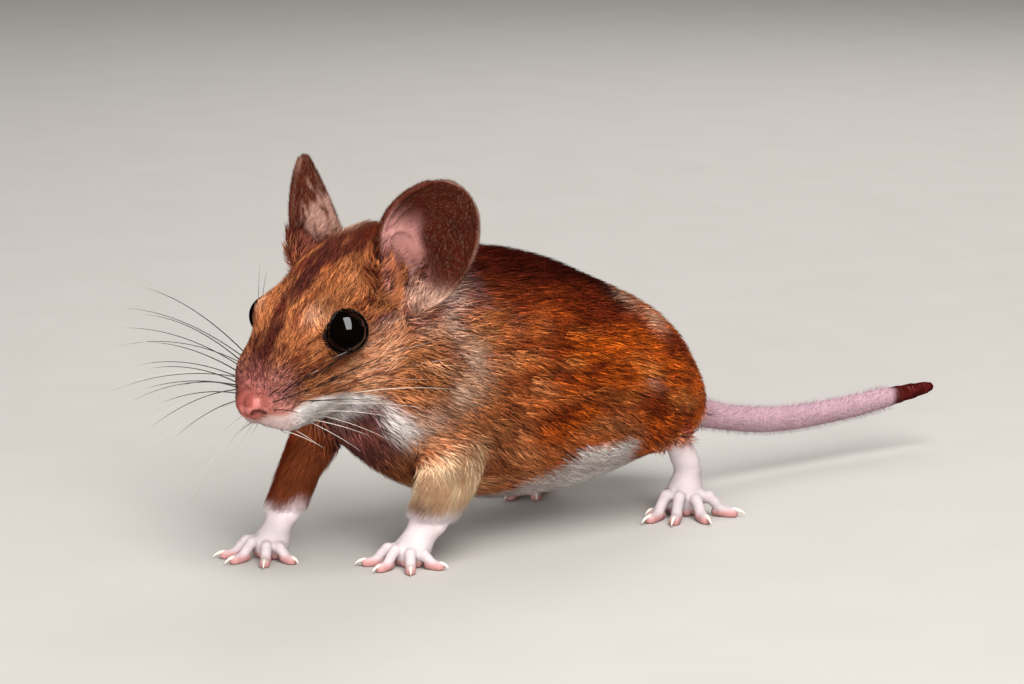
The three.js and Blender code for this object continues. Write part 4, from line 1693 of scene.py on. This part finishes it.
class Shader:
    """A material's nodes, made and linked a line at a time."""

    def __init__(self, name):
        self.material = bpy.data.materials.new(name)
        self.material.use_nodes = True
        self.nodes = self.material.node_tree.nodes
        self.links = self.material.node_tree.links
        self.surface = self.nodes["Principled BSDF"]

    def node(self, kind, inputs=(), **settings):
        node = self.nodes.new(f"ShaderNode{kind}")
        for key, value in settings.items():
            setattr(node, key, value)
        for key, value in dict(inputs).items():
            if isinstance(value, bpy.types.NodeSocket):
                self.links.new(value, node.inputs[key])
            else:
                node.inputs[key].default_value = value
        return node

    def attribute(self, name):
        return self.node("Attribute", attribute_name=name)

    def noise(self, scale, detail=3.0, stretch=(1, 1, 1)):
        place = self.node("TexCoord").outputs["Object"]
        mapping = self.node("Mapping", {"Vector": place, "Scale": stretch})
        return self.node("TexNoise", {"Vector": mapping.outputs[0], "Scale": scale, "Detail": detail})

    def math(self, operation, a, b=0.0):
        return self.node("Math", {0: a, 1: b}, operation=operation).outputs[0]

    def spread(self, value, low, high):
        """A value from 0 to 1 spread from low to high."""
        ends = {"Value": value, "To Min": low, "To Max": high}
        return self.node("MapRange", ends).outputs[0]

    def tinted(self, colour, amount):
        """A colour made lighter or darker by an amount round 1."""
        made = self.node("VectorMath", {0: colour, "Scale": amount}, operation="SCALE")
        return made.outputs[0]

    def ramp(self, value, low, high):
        """A value from 0 to 1 as a colour between two."""
        made = self.node("ValToRGB", {"Fac": value})
        for element, colour in zip(made.color_ramp.elements, (low, high)):
            element.color = (*colour, 1)
        return made.outputs[0]

    def bump(self, height, distance, strength=1.0):
        made = self.node("Bump", {"Height": height, "Distance": distance, "Strength": strength})
        return made.outputs[0]

    def finish(self, **inputs):
        for key, value in inputs.items():
            socket = self.surface.inputs[key.replace("_", " ")]
            if isinstance(value, bpy.types.NodeSocket):
                self.links.new(value, socket)
            else:
                socket.default_value = value
        return self.material


def coat_material():
    shader = Shader("coat")
    colour = shader.attribute("coat_colour").outputs["Color"]
    mottle = shader.noise(900, stretch=(1, 0.35, 1)).outputs["Fac"]
    tinted = shader.tinted(colour, shader.spread(mottle, 0.82, 1.18))
    return shader.finish(Base_Color=tinted, Roughness=0.55, Specular_IOR_Level=0.08)


def skin_material():
    """Under the coat a plain dull skin; creased, a little see-through and damper where bare."""
    shader = Shader("skin")
    colour = shader.attribute("coat_colour").outputs["Color"]
    bare = shader.attribute("bare").outputs["Fac"]
    damp = shader.attribute("damp").outputs["Fac"]
    along = shader.attribute("ringed").outputs["Fac"]
    blotch = shader.noise(700, 4).outputs["Fac"]
    fine = shader.noise(4200, 4).outputs["Fac"]
    strands = shader.noise(2600, 2, stretch=(1, 0.12, 1)).outputs["Fac"]
    tone = shader.math("MULTIPLY", shader.spread(blotch, 0.84, 1.16), shader.spread(fine, 0.9, 1.1))
    rings = shader.math("SINE", along)
    grain = shader.node("Mix", {"Factor": bare, "A": strands, "B": fine}).outputs[0]
    height = shader.math("ADD", grain, shader.math("MULTIPLY", rings, 0.5))
    roughness = shader.math("SUBTRACT", shader.spread(fine, 0.5, 0.66), shader.math("MULTIPLY", damp, 0.38))
    return shader.finish(
        Base_Color=shader.tinted(colour, tone),
        Roughness=roughness,
        Normal=shader.bump(height, 0.00006, 0.8),
        Specular_IOR_Level=0.25,
        Subsurface_Weight=0.12,
        Subsurface_Radius=(1.0, 0.35, 0.2),
        Subsurface_Scale=0.0006,
    )


def eye_material():
    shader = Shader("eye")
    depth = shader.noise(500, 2).outputs["Fac"]
    black = shader.ramp(depth, (0.0006, 0.0005, 0.0005), (0.0022, 0.0012, 0.0010))
    return shader.finish(Base_Color=black, Roughness=0.03, Specular_IOR_Level=0.5)


def claw_material():
    shader = Shader("claw")
    streak = shader.noise(1800, 3, stretch=(1, 1, 0.3)).outputs["Fac"]
    return shader.finish(
        Base_Color=shader.ramp(streak, (0.62, 0.50, 0.42), (0.86, 0.78, 0.70)),
        Roughness=shader.spread(streak, 0.25, 0.42),
        Normal=shader.bump(streak, 0.00003, 0.6),
        Subsurface_Weight=0.2,
        Subsurface_Scale=0.0004,
    )


def whisker_material():
    shader = Shader("whisker")
    colour = shader.attribute("coat_colour").outputs["Color"]
    sheen = shader.noise(2500, 2).outputs["Fac"]
    return shader.finish(
        Base_Color=shader.tinted(colour, shader.spread(sheen, 0.9, 1.1)), Roughness=0.32
    )


# Skin, eyes, claws and whiskers as pieces --------------------------------------------------

def near_lines(points, lines, radius):
    """1 on any of the lines, running out to 0 at a radius from it."""
    gap = np.minimum.reduce([tapered(line, 0.0)(points) for line in lines])
    return smoothstep(radius, radius * 0.4, gap)


def darkened_lines(points, colour, follicles):
    """A skin's colour with the whiskers' follicles marked, and painted shade in the mouth's slit and the
    nostrils.
    """
    front = in_head(points)[:, 0] > 4
    mouths = [mouth_line(side, 12) for side in SIDES.values()]
    dark, holes = np.zeros(len(points)), np.zeros(len(points))
    dark[front] = near_lines(points[front], mouths, 0.55)
    for spot in follicles:
        close = np.linalg.norm(points - spot, axis=1)
        dark = np.maximum(dark, 0.85 * smoothstep(0.34, 0.12, close))
    # painted shade along the mouth's slit, and the follicles' own dark
    colour = mixed(colour, MOUTH_SLIT_SHADE, 0.8 * dark)
    # painted shade in the nostrils
    holes[front] = near_lines(points[front], [nostril(side) for side in SIDES.values()], 0.5)
    return mixed(colour, NOSTRIL_SHADE, 0.85 * holes)


def skin_looks(points, follicles):
    """The skin's colour, darkened under the coat as painted shade between the tufts, and where it is bare,
    damp or ringed.
    """
    share = shares(points)
    bare = share["nose"] + share["paw"] + share["ear"] + share["tail"]
    # painted shade: skin that is neither bare nor on the shins is darkened to 0.62, for the shade between
    # the tufts
    colour = markings(points) * (0.62 + 0.38 * np.clip(bare + share["shin"], 0, 1))[:, None]
    damp = 0.75 * share["nose"] + smoothstep(RAW_FROM, RAW_FROM + 1, points[:, 1])
    damp = damp + 0.45 * share["ear"] * bare_cup(points)
    for side, at in EYES.items():
        near = np.linalg.norm(points - at, axis=1) < 4
        lid = smoothstep(0.55, 0.3, OPENINGS[side](points)) * near
        colour = mixed(colour, LID_DARK, lid)
        damp = np.maximum(damp, 0.8 * lid)
    pads = share["paw"] * smoothstep(1.3, 0.5, points[:, 2])
    colour = mixed(colour, PINK * 0.85, 0.6 * pads)
    ringed = points[:, 1] * 9.0 * (share["tail"] > 0.5)
    floats = {"bare": np.clip(bare, 0, 1), "damp": np.clip(damp, 0, 1), "ringed": ringed}
    return darkened_lines(points, colour, follicles), floats


def make_skin(skin, follicles):
    """The skin takes the place of all the flesh's solids."""
    points = skin.points
    colour, floats = skin_looks(points, follicles)
    piece = make_piece("skin", points, skin.quads, skin_material(), colour, floats)
    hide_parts(*FLESH)
    return piece


BULGE = 0.03  # how far the clear front stands proud of the ball


def make_eye(name, side, material):
    """A ball with the clear front standing a little proud, as a mouse's does."""
    rows, around = 47, 72
    polar = np.linspace(0, math.pi, rows + 2)[1:-1, None]
    angle = np.linspace(0, 2 * math.pi, around, endpoint=False)[None, :]
    out = eye_axis(side)
    beside = unit(np.cross(out, vec(0, 0, 1)))
    axes = np.array([out, beside, np.cross(beside, out)])
    radius = EYE_RADIUS - BULGE + BULGE * np.cos(polar / 2) ** 8
    round_out = [np.cos(polar) + 0 * angle, np.sin(polar) * np.cos(angle), np.sin(polar) * np.sin(angle)]
    ring = (radius[..., None] * np.stack(round_out, -1)).reshape(-1, 3) @ axes
    ends = [out * EYE_RADIUS, -out * (EYE_RADIUS - BULGE)]
    points = np.concatenate([ring, ends]) + EYES[side]
    piece = make_piece(name, points, closed_tube(rows, around)[:, ::-1], material)
    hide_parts(name.replace("ball", "eye"))


def tubes(lines, sides):
    """Many tapered tubes as one mesh. Each line is its points, radii and colours."""
    points, faces, colours = [], [], []
    angle = np.linspace(0, 2 * math.pi, sides, endpoint=False)[None, :, None]
    count = 0
    for line, radii, colour in lines:
        way = unit(np.gradient(line, axis=0))
        aside = unit(np.cross(way, way[0] + vec(0.31, 0.17, 0.62)))
        over = np.cross(way, aside)
        spokes = np.cos(angle) * aside[:, None] + np.sin(angle) * over[:, None]
        ring = line[:, None] + radii[:, None, None] * spokes
        points += [ring.reshape(-1, 3), line[[0, -1]]]
        colours += [np.repeat(colour, sides, axis=0), colour[[0, -1]]]
        faces.append(closed_tube(len(line), sides) + count)
        count += len(line) * sides + 2
    return np.concatenate(points), np.concatenate(faces), np.concatenate(colours)


CLAW_RADII = np.array([0.34, 0.36, 0.35, 0.32, 0.28, 0.22, 0.16, 0.1, 0.05])  # shares of the toe's


def make_claws(material):
    lines = []
    for foot in FEET.values():
        r = foot["radius"]
        for toe in foot["toes"]:
            at, _, _ = toe_line(foot, toe)
            curve = [at(0.9, r), at(1.1, r * 1.12), at(1.28, r * 0.86), at(1.4, r * 0.4)]
            count = len(CLAW_RADII)
            lines.append((through(curve, count), r * CLAW_RADII, np.ones((count, 3))))
    points, faces, _ = tubes(lines, 10)
    piece = make_piece("claws", points, faces, material)


def whisker_roots(field):
    """Rows of follicles on each whisker pad: (side, row, column, place)."""
    found, places = [], []
    for side in SIDES.values():
        for row in range(5):
            for column in range(5 if row < 4 else 3):
                found.append((side, row, column))
                ahead = 10.4 - 1.3 * column - 0.25 * row
                up = -2.7 - 0.95 * row - 0.12 * column
                places.append(head_point(ahead, side * (2.6 + 0.55 * column), up))
    places = field.lifted(places, times=4)
    return [(*which, place) for which, place in zip(found, places)]


WHISKER_DARK = vec(0.012, 0.008, 0.007)
WHISKER_PALE = vec(0.66, 0.58, 0.50)


def clear_of_coat(line, t, field):
    """A whisker's line kept just over the coat and the floor."""
    over = np.minimum(DEPTH.at(line) + 0.3, 3.5 * t + 0.02)
    line = line + field.slope(line) * np.maximum(over - field.at(line), 0)[:, None]
    line[:, 2] = np.maximum(line[:, 2], 0.4)
    return line


def whisker(side, row, column, root, field):
    """One whisker. The right side's spread ahead, and the left side's are swept back."""
    share = column / 4
    length = 11 + 15 * share - 1.6 * abs(row - 1.5) + rng.uniform(-1.5, 1.5)
    if side < 0:
        ahead, rise, swept = 0.8 - 0.5 * share, 1.1 + 0.75 * share - 0.5 * row, 0.36
    else:
        ahead, rise, swept = -0.3 - 0.9 * share, 0.55 - 0.3 * row, 0.16
        length = length * 0.58
    rise = rise + rng.uniform(-0.12, 0.12)
    start = unit(0.85 * side * LEFT + (ahead + rng.uniform(-0.1, 0.1)) * FORWARD + rise * CROWN)
    bend = unit(-0.15 * FORWARD + 0.1 * side * LEFT + vec(0, 0, -1))
    t = np.linspace(0, 1, 17)[:, None]
    line = root + length * (t * start + swept * rng.uniform(0.8, 1.25) * t**2 * bend)
    t = t[:, 0]
    line = clear_of_coat(line, t, field)
    radii = (0.072 - 0.007 * row) * (1 - t) ** 0.8 + 0.008
    fade = smoothstep(0.65, 1.05, t) if row < 3 else smoothstep(-0.1, 0.35, t)
    return line, radii, mixed(WHISKER_DARK, WHISKER_PALE, 0.9 * fade)


# Long hairs over an eye and on a cheek: place and way as ahead, aside and up, and length.
BROW_HAIRS = [
    ([2.4, 5.2, 3.0], [-0.9, 0.5, 0.7], 8),
    ([1.4, 5.6, 3.3], [-1.1, 0.6, 0.6], 6.5),
    ([-3.0, 8.0, -5.0], [-1.0, 0.7, -0.2], 8),
]


def brow_hairs(side, field):
    """A few long dark hairs over an eye and on a cheek."""
    t = np.linspace(0, 1, 15)
    for place, way, length in BROW_HAIRS:
        ahead, aside, up = place
        root = field.lifted([head_point(ahead, side * aside, up)], times=1)
        start = unit((way * vec(1, side, 1)) @ HEAD_AXES)
        curve = t[:, None] * start - t[:, None] ** 2 * vec(0, 0, 0.25)
        line = clear_of_coat(root + length * curve, t, field)
        yield line, 0.03 * (1 - t) + 0.008, np.tile(WHISKER_DARK * 2, (len(t), 1))


def make_whiskers(roots, field, material):
    lines = [whisker(*root, field) for root in roots]
    for side in SIDES.values():
        lines += brow_hairs(side, field)
    points, faces, colours = tubes(lines, 5)
    piece = make_piece("whiskers", points, faces, material, colours)


# Stage -------------------------------------------------------------------------------------

AZIMUTH = 50  # degrees, the camera's round from straight ahead
ELEVATION = 11.5
CAMERA_AT = (0.3130, -0.2787, 0.1069)  # metres
LENS = 115.3  # millimetres, on a sensor 36 wide


def way_back(azimuth, elevation):
    """The way from the mouse to a camera or a light."""
    a, e = math.radians(azimuth), math.radians(elevation)
    return Vector((math.sin(a) * math.cos(e), -math.cos(a) * math.cos(e), math.sin(e)))


def place(name, data, at, back):
    made = bpy.data.objects.new(name, data)
    made.location = at
    made.rotation_mode = "QUATERNION"
    made.rotation_quaternion = Vector(back).to_track_quat("Z", "Y")
    bpy.context.scene.collection.objects.link(made)
    return made


def make_camera():
    data = bpy.data.cameras.new("camera")
    data.lens = LENS
    data.sensor_width = 36
    data.sensor_fit = "HORIZONTAL"
    data.clip_start = 0.01
    data.clip_end = 20
    bpy.context.scene.camera = place("camera", data, CAMERA_AT, way_back(AZIMUTH, ELEVATION))


def make_light(name, azimuth, elevation, distance, size, watts, shines=True):
    """A soft panel that faces the mouse, wide and tall; shines is whether the eye mirrors it."""
    data = bpy.data.lights.new(name, "AREA")
    data.shape = "RECTANGLE"
    data.size, data.size_y = size
    data.energy = watts
    back = way_back(azimuth, elevation)
    light = place(name, data, Vector((0, 0, 0.02)) + back * distance, back)
    light.visible_glossy = shines


def make_floor():
    mesh = bpy.data.meshes.new("floor")
    half = 4  # metres
    ends = [(-half, -half, 0), (half, -half, 0), (half, half, 0), (-half, half, 0)]
    mesh.from_pydata(ends, [], [(0, 1, 2, 3)])
    shader = Shader("floor")
    pale = shader.ramp(shader.noise(60, 5).outputs["Fac"], (0.44, 0.42, 0.39), (0.48, 0.46, 0.43))
    mesh.materials.append(shader.finish(Base_Color=pale, Roughness=0.8))
    floor = bpy.data.objects.new("floor", mesh)
    floor.location = (0, 0, -0.00002)
    bpy.context.scene.collection.objects.link(floor)
    floor.visible_glossy = False  # a pale floor mirrored in the eye would grey it


def make_world():
    world = bpy.data.worlds.new("studio")
    bpy.context.scene.world = world
    world.use_nodes = True
    sky = world.node_tree.nodes["Background"]
    sky.inputs["Color"].default_value = (0.80, 0.78, 0.75, 1)
    sky.inputs["Strength"].default_value = 0.45
    world.cycles_visibility.glossy = False


def make_stage():
    make_camera()
    make_floor()
    make_world()
    # Each light's way round and up, its distance and its size in metres, and its watts.
    make_light("key", AZIMUTH + 20, 54, 0.6, (0.34, 0.8), 6.3)
    make_light("fill", AZIMUTH - 18, 4, 0.8, (0.5, 0.3), 6.0, shines=False)
    make_light("rim", AZIMUTH + 165, 40, 0.6, (0.3, 0.3), 1.4, shines=False)
    bpy.context.scene.view_settings.view_transform = "Standard"


# The whole ---------------------------------------------------------------------------------

make_stage()
skin = Skin(*shaped_skin())
roots = whisker_roots(skin.field)
make_skin(skin, [place for *_, place in roots])
make_coat(skin, coat_material())
ball = eye_material()
make_eye("ball_left", 1, ball)
make_eye("ball_right", -1, ball)
make_claws(claw_material())
make_whiskers(roots, skin.field, whisker_material())
